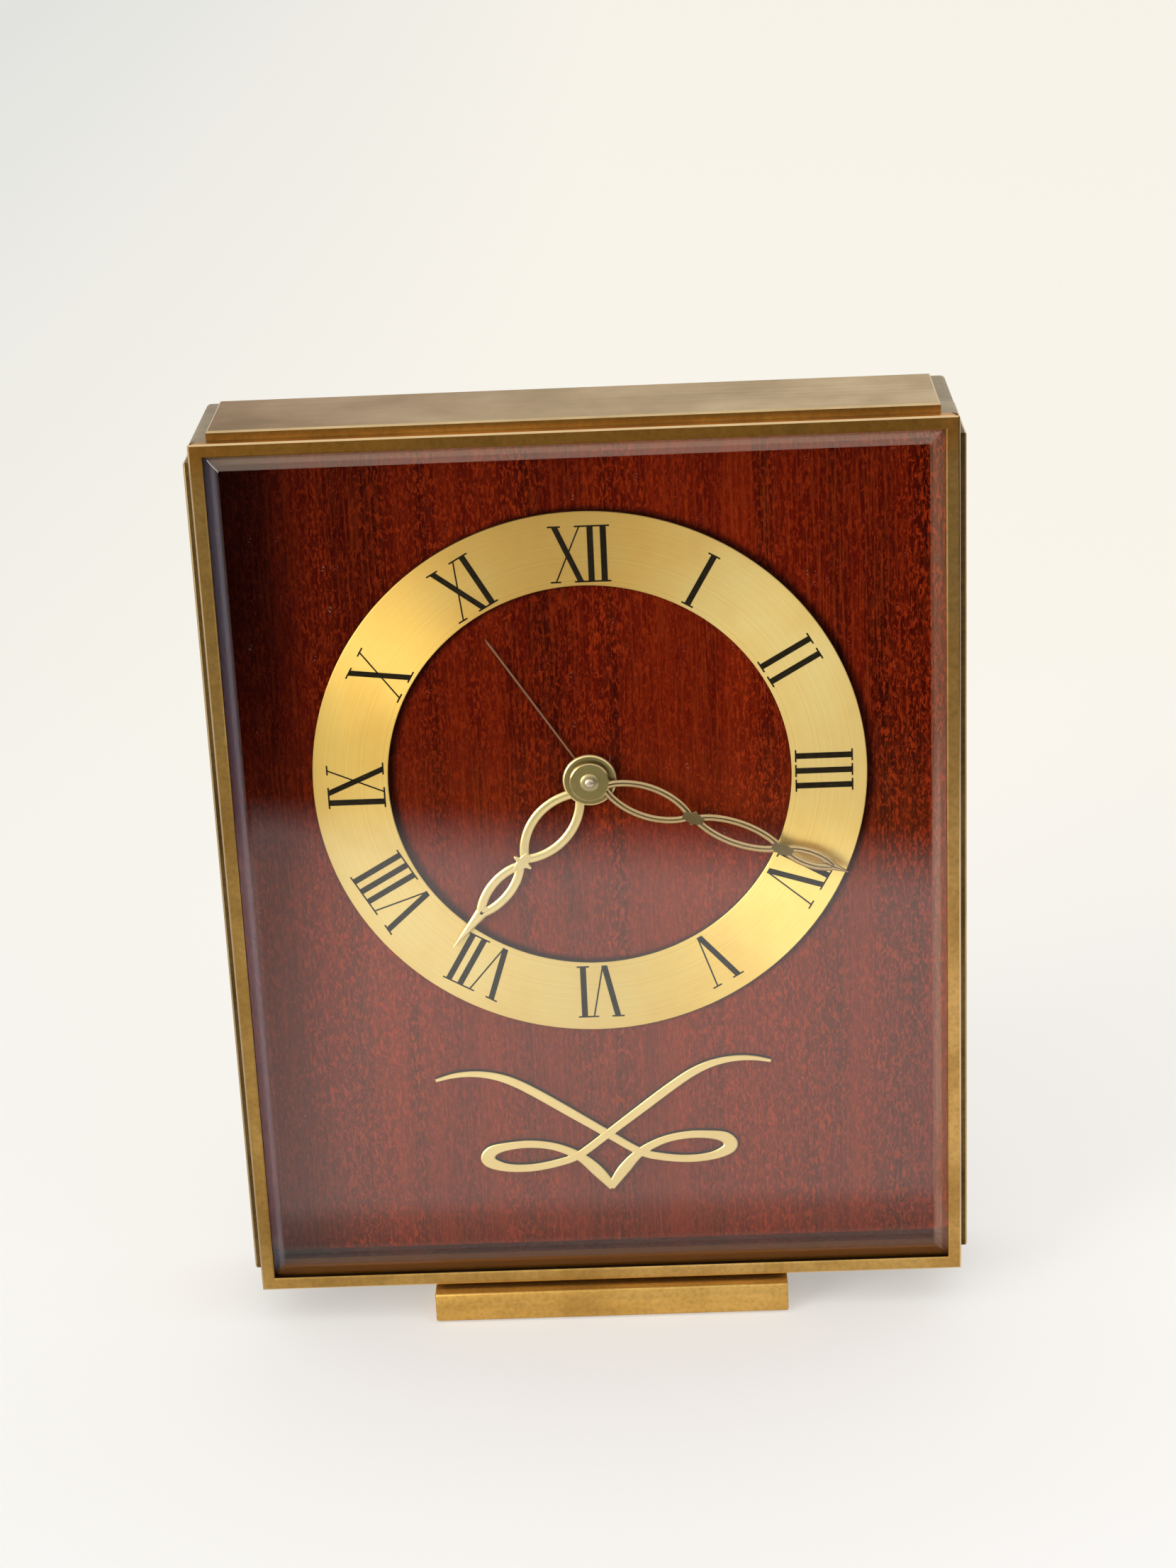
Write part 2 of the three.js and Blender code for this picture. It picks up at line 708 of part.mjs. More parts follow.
function makeHands() {
  const radii = pipeRadii();
  const place = [0, dialZ];
  const minuteBore = radii.cannonOuter + pipeGap;
  const minuteShape = piercedHand(minuteHubRadius, minuteBore, minuteLoops, minuteCollars, minuteTip);
  const minute = plate(minuteShape, minuteHandFront, handThickness);
  add('minute_hand', turnClockwise(minute, minuteAngle), goldPlate, place);

  const hourBore = radii.hourOuter + pipeGap;
  const hourShape = piercedHand(hourHubRadius, hourBore, hourLoops, hourCollars, hourTip);
  const hour = plate(hourShape, hourHandFront, handThickness);
  add('hour_hand', turnClockwise(hour, hourAngle), goldPlate, place);

  const bladeRoot = alarmHubRadius - lap;
  const bladeShoulder = alarmHandLength - 0.8;
  const blade = plate(polygon([
    [-alarmHandRootWidth / 2, bladeRoot], [alarmHandRootWidth / 2, bladeRoot],
    [alarmHandTipWidth / 2, bladeShoulder], [0, alarmHandLength], [-alarmHandTipWidth / 2, bladeShoulder],
  ]), alarmHandFront, alarmHandThickness);
  const alarmBack = alarmHandFront + alarmHandThickness;
  const alarmHub = tube(radii.alarmOuter + pipeGap, alarmHubRadius, alarmHandFront, alarmBack, 12);
  add('alarm_hand', turnClockwise(join(alarmHub, blade), alarmAngle), brass, place);
}

// Places of the arbors about the dial's centre
const goingPlace = polar(barrelRadius + centrePinionRadius + meshGap, goingBarrelAngle);
const thirdPlace = polar(centreWheelRadius + thirdPinionRadius + meshGap, thirdAngle);
const fourthPlace = polar(thirdWheelRadius + fourthPinionRadius + meshGap, fourthAngle, thirdPlace);
const escapePlace = polar(fourthWheelRadius + escapePinionRadius + meshGap, escapeAngle, fourthPlace);
const leverPlace = polar(leverDistance, leverAngle, escapePlace);
const balancePlace = polar(balanceDistance, leverAngle, leverPlace);
const motionDistance = cannonRadius + motionRadius + meshGap;
const motionPlace = polar(motionDistance, motionAngle);
const handSetPlace = polar(motionDistance, handSetAngle, motionPlace);
const alarmSetPlace = polar(alarmWheelRadius + alarmPinionRadius + meshGap, alarmSetAngle);
const starPlace = polar(alarmBarrelRadius + starPinionRadius + meshGap, starAngle, alarmBarrelPlace);

function onDial([x, z]) {
  return [x, z + dialZ];
}

// The wheel, its pinion and the arbor that runs in both plates
function wheelOnArbor(teeth, radius, depth, level, pinionTeeth, pinionRadius, pinionFrom, pinionTo) {
  return join(
    rod(pivotRadius, frontPlateFront, backPlateBack, pivotSides),
    plate(gear(teeth, radius, depth, 0), level, wheelThickness),
    plate(gear(pinionTeeth, pinionRadius, pinionToothDepth, 0), pinionFrom, pinionTo - pinionFrom),
  );
}

function makePlates() {
  const pivots = [thirdPlace, fourthPlace, escapePlace, leverPlace, balancePlace, starPlace, hammerPlace];
  const pillarPlaces = pillarAngles.map((angle) => polar(pillarCircle, angle));
  const holes = [
    circle(centreArborRadius + pipeGap),
    ...pivots.map((place) => circle(pivotRadius + pipeGap, place)),
    ...[handSetPlace, alarmSetPlace].map((place) => circle(knobArborRadius + knobArborGap, place)),
    ...[goingPlace, alarmBarrelPlace].map((place) => circle(barrelArborRadius + barrelArborGap, place)),
    ...pillarPlaces.map((place) => circle(pillarNeckRadius + pipeGap, place)),
  ];
  const holeSegments = 4;
  const rimSegments = 24;
  const platePoints = Array.from({ length: rimSegments * 2 }, (_, i) => (
    polar(plateRadius, (i * 180) / rimSegments)));
  const frontPlate = plate(polygon(platePoints, ...holes), frontPlateFront, plateThickness, holeSegments);
  const stud = (place, from, to) => rod(pivotRadius, from, to, 10).translate(place[0], 0, place[1]);
  add('movement_front_plate', join(
    frontPlate,
    stud(motionPlace, hourLevel - lap / 2, frontPlateFront + lap),
    stud(clickPlace('going'), frontPlateBack - lap, levelA + wheelThickness + lap),
    stud(clickPlace('alarm'), frontPlateBack - lap, levelA + wheelThickness + lap),
  ), brass, [0, dialZ]);
  const bossFrom = backPlateBack - lap;
  const boss = tube(pivotRadius + pipeGap, regulatorBoss, bossFrom, coverFront - fitGap)
    .translate(balancePlace[0], 0, balancePlace[1]);
  const backPlate = plate(polygon(platePoints, ...holes), backPlateFront, plateThickness, holeSegments);
  const bossBore = rod(pivotRadius + pipeGap, backPlateFront - cutterPass, coverFront, 8)
    .translate(balancePlace[0], 0, balancePlace[1]);
  add('movement_back_plate', cut(join(backPlate, boss), bossBore), brass, [0, dialZ]);

  pillarPlaces.forEach((place, number) => {
    const pillar = lathe([
      [0, dialBack], [pillarRadius, dialBack], [pillarRadius, frontPlateFront],
      [pillarNeckRadius, frontPlateFront], [pillarNeckRadius, frontPlateBack],
      [pillarRadius, frontPlateBack], [pillarRadius, backPlateFront],
      [pillarNeckRadius, backPlateFront], [pillarNeckRadius, backPlateBack],
      [pillarRadius, backPlateBack], [pillarRadius, coverFront], [0, coverFront],
    ], 10);
    add(`movement_pillar_${number + 1}`, pillar, brass, onDial(place));
  });
}

function clickPlace(kind) {
  return kind === 'going'
    ? polar(clickReach, goingClickAngle, goingPlace)
    : polar(clickReach - goingRatchetRadius + alarmRatchetRadius, alarmClickAngle, alarmBarrelPlace);
}

function makeMotionWork() {
  const radii = pipeRadii();
  const place = [0, dialZ];
  add('centre_arbor', join(
    rod(centreArborRadius, frontPlateFront, backPlateBack),
    lathe([
      [0, minuteHandFront - arborTipReach], [centreTipRadius * 0.6, minuteHandFront - arborTipReach * 0.85],
      [centreTipRadius, minuteHandFront - arborTipReach * 0.4], [centreTipRadius, frontPlateFront + lap],
      [0, frontPlateFront + lap],
    ], 14),
    plate(gear(centreWheelTeeth, centreWheelRadius, toothDepth, 0), levelA, wheelThickness),
    barrelPinion(centrePinionTeeth, centrePinionRadius),
  ), brass, place);
  add('cannon_pinion', join(
    tube(radii.cannonInner, radii.cannonOuter, minuteHandFront - pipeReach, motionLevel + wheelThickness),
    plate(gear(cannonTeeth, cannonRadius, toothDepth, radii.cannonInner), motionLevel, wheelThickness),
  ), brass, place);
  const pinionRadius = (motionDistance - meshGap) * motionPinionTeeth / (motionPinionTeeth + hourTeeth);
  const hourRadius = motionDistance - meshGap - pinionRadius;
  add('hour_wheel', join(
    tube(radii.hourInner, radii.hourOuter, hourHandFront - pipeReach, hourLevel + wheelThickness),
    plate(gear(hourTeeth, hourRadius, toothDepth, radii.hourInner), hourLevel, wheelThickness),
  ), brass, place);
  add('alarm_wheel', join(
    tube(radii.alarmInner, radii.alarmOuter, alarmHandFront - alarmPipeReach, alarmLevel + wheelThickness),
    plate(gear(alarmWheelTeeth, alarmWheelRadius, toothDepth, radii.alarmInner), alarmLevel, wheelThickness),
  ), brass, place);
  const motionBore = pivotRadius + pipeGap;
  const motionPinion = gear(motionPinionTeeth, pinionRadius, motionPinionToothDepth, motionBore);
  add('motion_wheel', join(
    plate(gear(motionTeeth, motionRadius, toothDepth, motionBore), motionLevel, wheelThickness),
    plate(motionPinion, hourLevel, motionLevel - hourLevel + lap / 2),
  ), brass, onDial(motionPlace));
}

function makeGoingTrain() {
  const third = wheelOnArbor(thirdWheelTeeth, thirdWheelRadius, toothDepth, levelB,
    thirdPinionTeeth, thirdPinionRadius, levelA - lap, levelA + wheelThickness + lap);
  add('third_wheel', third, brass, onDial(thirdPlace));
  const fourth = wheelOnArbor(fourthWheelTeeth, fourthWheelRadius, toothDepth, levelC,
    fourthPinionTeeth, fourthPinionRadius, levelB - lap, levelB + wheelThickness + lap);
  add('fourth_wheel', fourth, brass, onDial(fourthPlace));
  const escape = wheelOnArbor(escapeWheelTeeth, escapeWheelRadius, escapeToothDepth, levelD,
    escapePinionTeeth, escapePinionRadius, levelC - lap, levelC + wheelThickness + lap);
  add('escape_wheel', escape, steel, onDial(escapePlace));
}

// Pallet lever, balance and hairspring, along the line from the escape wheel to the balance
function makeEscapement() {
  const turn = -THREE.MathUtils.degToRad(leverAngle);
  const forkReach = balanceDistance - rollerRadius - forkGap;
  const palletReach = leverDistance - escapeWheelRadius - palletGap;
  const lever = polygon([
    [-palletReach, -3.4], [-palletReach + 0.8, -3.5], [1.0, -0.8], [forkReach - 1.6, -0.45],
    [forkReach, -1.2], [forkReach - 0.6, 0], [forkReach, 1.2], [forkReach - 1.6, 0.45],
    [1.0, 0.8], [-palletReach + 0.8, 3.5], [-palletReach, 3.4], [-0.6, 0],
  ]);
  const leverStaff = rod(pivotRadius, frontPlateFront, backPlateBack, pivotSides);
  const leverSolid = join(leverStaff, plate(lever, levelD, wheelThickness)).rotateY(turn);
  add('pallet_lever', leverSolid, steel, onDial(leverPlace));

  const innerRim = balanceRadius - balanceRim;
  const spokeY = levelC + balanceThickness / 2;
  const spoke = box(2 * innerRim + 3 * lap, balanceThickness * 0.6, spokeWidth, 0, spokeY, 0);
  add('balance_wheel', join(
    rod(pivotRadius, frontPlateFront, backPlateBack, pivotSides),
    plate(disc(balanceRadius, circle(innerRim)), levelC, balanceThickness, 16),
    spoke,
    rod(rollerRadius, levelD, levelD + wheelThickness),
  ), goldPlate, onDial(balancePlace));

  const coil = plate(spiral(hairspringStart, hairspringRadius, hairspringTurns, hairspringThickness),
    levelA, wheelThickness);
  const studLength = levelA + wheelThickness - frontPlateBack;
  const stud = box(1.0, studLength, 0.8, hairspringRadius + 0.4, frontPlateBack + studLength / 2, 0);
  add('hairspring', join(coil, stud), blueSteel, onDial(balancePlace));
}

// A pinion that a barrel drives: a little wider than the barrel's teeth on either side
function barrelPinion(teeth, radius) {
  const from = backPlateFront - barrelFlange - lap;
  return plate(gear(teeth, radius, pinionToothDepth, 0), from, backPlateFront - fitGap - from);
}

// Barrel: a toothed flange at the back and an open drum in front of it
function barrel(teeth, radius) {
  const flangeFrom = backPlateFront - barrelFlange;
  const drumFrom = levelB - fitGap;
  const bore = barrelArborRadius + pipeGap;
  return join(
    plate(gear(teeth, radius, toothDepth, bore), flangeFrom, barrelGearThickness),
    tube(radius - barrelFlange - barrelWall, radius - barrelFlange, drumFrom, flangeFrom + lap, 18),
  );
}

function barrelArbor(ratchetRadius) {
  const coreFrom = levelB - lap / 2;
  const coreTo = backPlateFront - barrelFlange - fitGap;
  return join(
    rod(barrelArborRadius, frontPlateFront, caseBack + backGap + keySocketDepth - fitGap),
    rod(barrelCoreRadius, coreFrom, coreTo, 16),
    plate(gear(ratchetTeeth, ratchetRadius, ratchetToothDepth, 0), levelA, wheelThickness),
  );
}

function mainspring(radius) {
  const from = levelB;
  const to = backPlateFront - barrelFlange - fitGap;
  const outer = radius - barrelFlange - barrelWall - fitGap - mainspringThickness;
  const coil = spiral(barrelCoreRadius + fitGap, outer, mainspringTurns, mainspringThickness);
  return plate(coil, from, to - from);
}

// A click lies beside its ratchet wheel; its nose ends just off the teeth
function click(distance, ratchetRadius, direction) {
  const hub = clickHubRadius;
  const lean = THREE.MathUtils.degToRad(clickLean);
  const reach = ratchetRadius + clickGap;
  const nose = [distance - reach * Math.cos(lean), reach * Math.sin(lean)];
  const body = polygon([
    [-hub, 0], [-hub * 0.7, -hub * 0.7], [0, -hub], [hub * 0.7, -hub * 0.7], [hub, hub * 0.1],
    nose, [nose[0] - hub / 2, nose[1] + hub / 6], [-hub * 0.3, hub * 0.95], [-hub * 0.8, hub * 0.6],
  ], circle(pivotRadius + pipeGap));
  return plate(body, levelA, wheelThickness, 6).rotateY(-THREE.MathUtils.degToRad(direction + 180));
}

function makeBarrels() {
  add('going_barrel', barrel(barrelTeeth, barrelRadius), brass, onDial(goingPlace));
  add('going_mainspring', mainspring(barrelRadius), blueSteel, onDial(goingPlace));
  add('going_barrel_arbor', barrelArbor(goingRatchetRadius), steel, onDial(goingPlace));
  const goingClick = click(clickReach, goingRatchetRadius, goingClickAngle);
  add('going_click', goingClick, steel, onDial(clickPlace('going')));
  add('alarm_barrel', barrel(alarmBarrelTeeth, alarmBarrelRadius), brass, onDial(alarmBarrelPlace));
  add('alarm_mainspring', mainspring(alarmBarrelRadius), blueSteel, onDial(alarmBarrelPlace));
  add('alarm_barrel_arbor', barrelArbor(alarmRatchetRadius), steel, onDial(alarmBarrelPlace));
  const alarmReach = clickReach - goingRatchetRadius + alarmRatchetRadius;
  const alarmClick = click(alarmReach, alarmRatchetRadius, alarmClickAngle);
  add('alarm_click', alarmClick, steel, onDial(clickPlace('alarm')));
}

// Star wheel, hammer, sounding post and stop button
function makeAlarm() {
  add('alarm_star_wheel', join(
    rod(pivotRadius, frontPlateFront, backPlateBack, pivotSides),
    plate(gear(starTeeth, starRadius, starToothDepth, 0), levelA, wheelThickness),
    barrelPinion(starPinionTeeth, starPinionRadius),
  ), steel, onDial(starPlace));
  const armShape = polygon([[-0.9, 0.9], [-1.0, -hammerArm], [1.0, -hammerArm], [0.9, 0.9]]);
  const headFrom = levelB;
  const headTo = levelD - hammerHeadGap;
  add('alarm_hammer', join(
    rod(pivotRadius, frontPlateFront, backPlateBack, pivotSides),
    plate(armShape, levelC, hammerArmThickness),
    rod(hammerHeadRadius, headFrom, headTo, 16).translate(0, 0, -hammerArm),
  ), steel, onDial(hammerPlace));
  const strike = hammerHeadRadius + hammerArm * Math.sin(THREE.MathUtils.degToRad(hammerSwing));
  const postX = hammerPlace[0] - strike - postRadius - fitGap;
  const headHeight = hammerPlace[1] - hammerArm;
  const post = rod(postRadius, coverFront - postLength, coverFront, 12);
  add('sounding_post', post, steel, onDial([postX, headHeight]));
  const outside = caseBack + backGap + stopTravel;
  const collarBack = coverFront - fitGap;
  const collarFront = collarBack - stopCollarHeight;
  add('alarm_stop_button', lathe([
    [0, collarFront], [stopCollarRadius, collarFront], [stopCollarRadius, collarBack],
    [stopRadius, collarBack], [stopRadius, outside], [stopHeadRadius, outside],
    [stopHeadRadius, outside + stopHeadHeight * 0.7], [stopHeadRadius * 0.7, outside + stopHeadHeight],
    [0, outside + stopHeadHeight],
  ], 16), brass, onDial([hammerPlace[0], headHeight]));
  return [hammerPlace[0], headHeight];
}

// Folding key: a forked hub with its cross pin, and a bow that folds flat
function keyHub() {
  const from = caseBack + backGap;
  const to = from + keyHubLength;
  const pinY = to - keyPinSetback;
  const pinReach = keyHubRadius * 0.85;
  const slotLength = keyForkDepth + cutterPass;
  return join(
    cut(
      rod(keyHubRadius, from, to, 20),
      rod(barrelArborRadius + fitGap, from - cutterPass, from + keySocketDepth, 12),
      box(keyForkGap, slotLength, keyHubRadius * 3, 0, to - keyForkDepth + slotLength / 2, 0),
    ),
    rod(keyPinRadius, -pinReach, pinReach, 10).rotateZ(Math.PI / 2).translate(0, pinY, 0),
  );
}

function keyBow() {
  const pinY = caseBack + backGap + keyHubLength - keyPinSetback;
  const halfTab = keyForkGap / 2 - fitGap;
  const ringTop = -keyHubRadius - keyBowClearance;
  const middle = (ringTop - keyBowLength) / 2;
  const halfHeight = (keyBowLength + ringTop) / 2;
  const outline = Array.from({ length: 20 }, (_, i) => {
    const angle = (i * Math.PI) / 10;
    return [keyBowWidth / 2 * Math.cos(angle), middle + halfHeight * Math.sin(angle)];
  });
  const holeHeight = halfHeight - keyBowRim;
  const hole = (sign) => {
    const path = new THREE.Path();
    const holeWidth = keyBowWidth / 4 - keyBowRim;
    path.absellipse(sign * keyBowWidth / 4.2, middle, holeWidth, holeHeight, 0, 2 * Math.PI, true);
    return path;
  };
  const bow = plate(polygon(outline, hole(-1), hole(1)), pinY - keyBowThickness / 2, keyBowThickness, 6);
  const tab = box(halfTab * 2, keyBowThickness, -ringTop + keyBowRim, 0, pinY, (ringTop - keyBowRim) / 2);
  const eye = (radius, halfLength, segments) => (
    rod(radius, -halfLength, halfLength, segments).rotateZ(Math.PI / 2).translate(0, pinY, 0));
  const bore = eye(keyPinRadius + fitGap, halfTab + cutterPass, 10);
  return cut(join(bow, tab, eye(keyPinRadius + fitGap + keyEyeWall, halfTab, 14)), bore);
}

function knob(arborFrom, pinionTeeth, pinionRadius, pinionLevel) {
  const from = caseBack + backGap;
  const points = Array.from({ length: knobFlutes * 2 }, (_, i) => (
    polar(i % 2 ? knobRadius - knobFluteDepth : knobRadius, (i * 180) / knobFlutes)));
  return join(
    plate(polygon(points), from + knobEndLength, knobLength - 2 * knobEndLength),
    rod(knobRadius - knobEndStep, from, from + knobLength, 18),
    rod(knobArborRadius, arborFrom, from + cutterPass),
    plate(gear(pinionTeeth, pinionRadius, toothDepth, 0), pinionLevel, wheelThickness),
  );
}

function makeControls() {
  ['time', 'alarm'].forEach((kind) => {
    const place = onDial(kind === 'time' ? goingPlace : alarmBarrelPlace);
    add(`${kind}_key_hub`, keyHub(), brass, place);
    add(`${kind}_key_bow`, keyBow(), brass, place);
  });
  const handSet = knob(motionLevel - lap, cannonTeeth, cannonRadius, motionLevel);
  add('hand_set_knob', handSet, brass, onDial(handSetPlace));
  const alarmSet = knob(alarmLevel, alarmPinionTeeth, alarmPinionRadius, alarmLevel);
  add('alarm_set_knob', alarmSet, brass, onDial(alarmSetPlace));
  const leverFront = backPlateBack + fitGap;
  const leverBack = leverFront + regulatorThickness;
  const armRoot = (regulatorBoss + fitGap + regulatorRing) / 2;
  const arm = polygon([[-0.9, armRoot], [0.9, armRoot], [0.6, regulatorReach], [-0.6, regulatorReach]]);
  add('regulator_lever', join(
    tube(regulatorBoss + fitGap, regulatorRing, leverFront, leverBack),
    plate(arm, leverFront, regulatorThickness),
    rod(regulatorPinRadius, leverFront, caseBack + regulatorPinRadius * 2, 8)
      .translate(0, 0, regulatorReach - regulatorPinRadius),
  ), steel, onDial(balancePlace));
}

// A slot with round ends that stands upright about the origin
function uprightSlot(width, height) {
  const reach = (height - width) / 2;
  return new THREE.Shape()
    .absarc(0, reach, width / 2, 0, Math.PI, false)
    .absarc(0, -reach, width / 2, Math.PI, Math.PI * 2, false);
}

// The slots low in the back cover that let the alarm's sound out
function soundSlots() {
  const slot = plate(uprightSlot(soundSlotWidth, soundSlotHeight), coverFront - cutterPass,
    coverThickness + 2 * cutterPass, 6);
  const height = caseBottom + soundSlotMiddle;
  return Array.from({ length: soundSlotCount }, (_, i) => (
    slot.clone().translate((i - (soundSlotCount - 1) / 2) * soundSlotSpacing, 0, height)));
}

// Back cover with a hole for each arbor, a curved slot for the regulator and four screws
function makeCover(stopPlace) {
  const clear = bandWall + fitGap;
  const cover = loft(caseWidth, caseHeight, [[clear, coverFront], [clear, caseBack]], false)
    .translate(0, 0, caseMiddle);
  const hole = (radius, [x, z], segments = 12) => (
    rod(radius + pipeGap, coverFront - cutterPass, caseBack + cutterPass, segments).translate(x, 0, z));
  const slotSteps = 7;
  const slotSwing = regulatorSwing + slotSpare;
  const slot = Array.from({ length: slotSteps }, (_, i) => {
    const angle = 90 - slotSwing + (2 * slotSwing * i) / (slotSteps - 1);
    const place = polar(regulatorReach - regulatorPinRadius, angle, balancePlace);
    return hole(regulatorPinRadius, onDial(place), 8);
  });
  const corners = cornerPlaces(lugSize / 2).map(([x, z]) => [x, z + caseMiddle]);
  add('back_cover', cut(
    cover,
    hole(barrelArborRadius, onDial(goingPlace)),
    hole(barrelArborRadius, onDial(alarmBarrelPlace)),
    hole(knobArborRadius, onDial(handSetPlace)),
    hole(knobArborRadius, onDial(alarmSetPlace)),
    hole(stopRadius, onDial(stopPlace)),
    ...slot,
    ...soundSlots(),
    ...corners.map((corner) => hole(coverScrewRadius, corner)),
  ), brass);
  corners.forEach((corner, number) => {
    const coverScrew = screw(coverScrewRadius, coverScrewLength, coverScrewHeadRadius, coverScrewHeadHeight)
      .translate(0, caseBack, 0);
    add(`back_cover_screw_${number + 1}`, coverScrew, steel, corner);
  });
}

makeCase();
makeFoot();
makeFront();
makeDial();
makeHands();
makePlates();
makeMotionWork();
makeGoingTrain();
makeEscapement();
makeBarrels();
const stopPlace = makeAlarm();
makeControls();
makeCover(stopPlace);

export default clock;
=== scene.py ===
# Desk clock with a mahogany dial: the visible pieces, their finishes and the small studio around them
import json
import math
import bpy
import bmesh
from mathutils import Matrix, Vector

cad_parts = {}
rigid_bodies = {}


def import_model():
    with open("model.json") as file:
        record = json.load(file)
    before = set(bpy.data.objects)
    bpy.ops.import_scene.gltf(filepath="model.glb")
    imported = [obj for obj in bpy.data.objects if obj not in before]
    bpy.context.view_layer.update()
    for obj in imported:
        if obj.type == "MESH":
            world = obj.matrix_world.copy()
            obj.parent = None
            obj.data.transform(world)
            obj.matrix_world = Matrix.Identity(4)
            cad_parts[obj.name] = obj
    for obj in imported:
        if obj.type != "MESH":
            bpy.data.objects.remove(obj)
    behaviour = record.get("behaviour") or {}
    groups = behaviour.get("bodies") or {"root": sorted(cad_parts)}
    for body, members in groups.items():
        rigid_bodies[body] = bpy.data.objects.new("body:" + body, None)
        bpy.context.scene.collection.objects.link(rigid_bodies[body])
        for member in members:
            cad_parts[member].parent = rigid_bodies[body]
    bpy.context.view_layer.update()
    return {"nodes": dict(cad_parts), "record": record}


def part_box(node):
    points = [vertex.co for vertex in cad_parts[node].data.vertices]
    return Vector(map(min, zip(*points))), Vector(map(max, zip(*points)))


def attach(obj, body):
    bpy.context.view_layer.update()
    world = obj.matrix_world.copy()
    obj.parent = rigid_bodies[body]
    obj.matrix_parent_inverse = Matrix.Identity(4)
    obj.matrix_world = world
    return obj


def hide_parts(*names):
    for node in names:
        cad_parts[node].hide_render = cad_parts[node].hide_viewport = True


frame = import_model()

mm = 0.001
tiny = 1e-6      # metres, for telling whether two places are the same
print("frame loaded:", len(frame["nodes"]), "nodes")


# Camera, solved from the corners of the case, the glass and the foot in the photograph
cameraView = {
    "place": (0.01329, -0.50263, 0.28457),
    "turn": (68.8547, 2.4584, 0.6309),   # degrees about X, Y and Z
    "lens": 73.774, "sensor": 36,
    "clip": (0.01, 50),
}

camera = bpy.data.objects.new("camera", bpy.data.cameras.new("camera"))
bpy.context.scene.collection.objects.link(camera)
camera.location = cameraView["place"]
camera.rotation_euler = [math.radians(angle) for angle in cameraView["turn"]]
camera.data.lens = cameraView["lens"]
camera.data.sensor_width = cameraView["sensor"]
camera.data.clip_start, camera.data.clip_end = cameraView["clip"]
bpy.context.scene.camera = camera
bpy.context.scene.view_settings.view_transform = "Standard"


finishes = {}    # every material by its name


# Node helpers
def newMaterial(name):
    material = bpy.data.materials.new(name)
    material.use_nodes = True
    finishes[name] = material
    return material.node_tree, material.node_tree.nodes["Principled BSDF"]


def feed(tree, node, values):
    for key, value in values.items():
        if isinstance(value, bpy.types.NodeSocket):
            tree.links.new(value, node.inputs[key])
        else:
            node.inputs[key].default_value = value


def addNode(tree, kind, values, **settings):
    node = tree.nodes.new(kind)
    for key, value in settings.items():
        setattr(node, key, value)
    feed(tree, node, values)
    return node


def calc(tree, operation, first, *others):
    for other in others:
        first = addNode(tree, "ShaderNodeMath", {0: first, 1: other}, operation=operation).outputs[0]
    return first


def vectorCalc(tree, operation, *vectors):
    node = addNode(tree, "ShaderNodeVectorMath", dict(enumerate(vectors)), operation=operation)
    return node.outputs["Value" if operation in ("LENGTH", "DOT_PRODUCT") else "Vector"]


# Goes from first to last while the value goes from start to end
def between(tree, value, start, end, first=0.0, last=1.0, smooth=False, clamp=True):
    limits = {"Value": value, "From Min": start, "From Max": end, "To Min": first, "To Max": last}
    return addNode(tree, "ShaderNodeMapRange", limits, clamp=clamp,
                   interpolation_type="SMOOTHSTEP" if smooth else "LINEAR").outputs[0]


# The piece's own coordinates about a centre, each axis times its scale
def placed(tree, scale=(1, 1, 1), centre=(0, 0, 0)):
    coords = addNode(tree, "ShaderNodeTexCoord", {})
    shift = [-middle * stretch for middle, stretch in zip(centre, scale)]
    return addNode(tree, "ShaderNodeMapping", {"Vector": coords.outputs["Object"], "Location": shift,
                                               "Scale": scale}).outputs[0]


def objectAxes(tree):
    coords = addNode(tree, "ShaderNodeTexCoord", {})
    return addNode(tree, "ShaderNodeSeparateXYZ", {0: coords.outputs["Object"]}).outputs


def noise(tree, vector, detail=4.0, roughness=0.55, distortion=0.0, scale=1.0):
    return addNode(tree, "ShaderNodeTexNoise", {
        "Vector": vector, "Scale": scale, "Detail": detail, "Roughness": roughness, "Distortion": distortion,
    }).outputs["Fac"]


# Noise on the piece itself: the grain is how fine it is per metre, alike all ways or along X, Y and Z
def grainy(tree, grain, **settings):
    return noise(tree, placed(tree, grain if isinstance(grain, tuple) else (grain, grain, grain)), **settings)


def opaque(colour):
    return (*colour, 1.0) if isinstance(colour, tuple) else colour


def ramp(tree, factor, stops):
    node = addNode(tree, "ShaderNodeValToRGB", {"Fac": factor})
    elements = node.color_ramp.elements
    while len(elements) < len(stops):
        elements.new(0.5)
    for element, (position, colour) in zip(elements, stops):
        element.position = position
        element.color = opaque(colour if isinstance(colour, tuple) else (colour, colour, colour))
    return node.outputs["Color"]


def mixColour(tree, share, first, second, blend="MIX"):
    return addNode(tree, "ShaderNodeMix", {0: share, 6: opaque(first), 7: opaque(second)},
                   data_type="RGBA", blend_type=blend).outputs[2]


def tinted(tree, colour, *tones):
    for tone in tones:
        colour = mixColour(tree, 1.0, colour, tone, "MULTIPLY")
    return colour


def mixShader(tree, share, first, second):
    return addNode(tree, "ShaderNodeMixShader", {0: share, 1: first, 2: second}).outputs[0]


def plainShader(tree, kind, colour):
    return addNode(tree, kind, {"Color": opaque(colour)}).outputs[0]


def addBump(tree, shader, height, strength, depth):
    bump = addNode(tree, "ShaderNodeBump", {"Height": height, "Strength": strength, "Distance": depth})
    feed(tree, shader, {"Normal": bump.outputs["Normal"]})


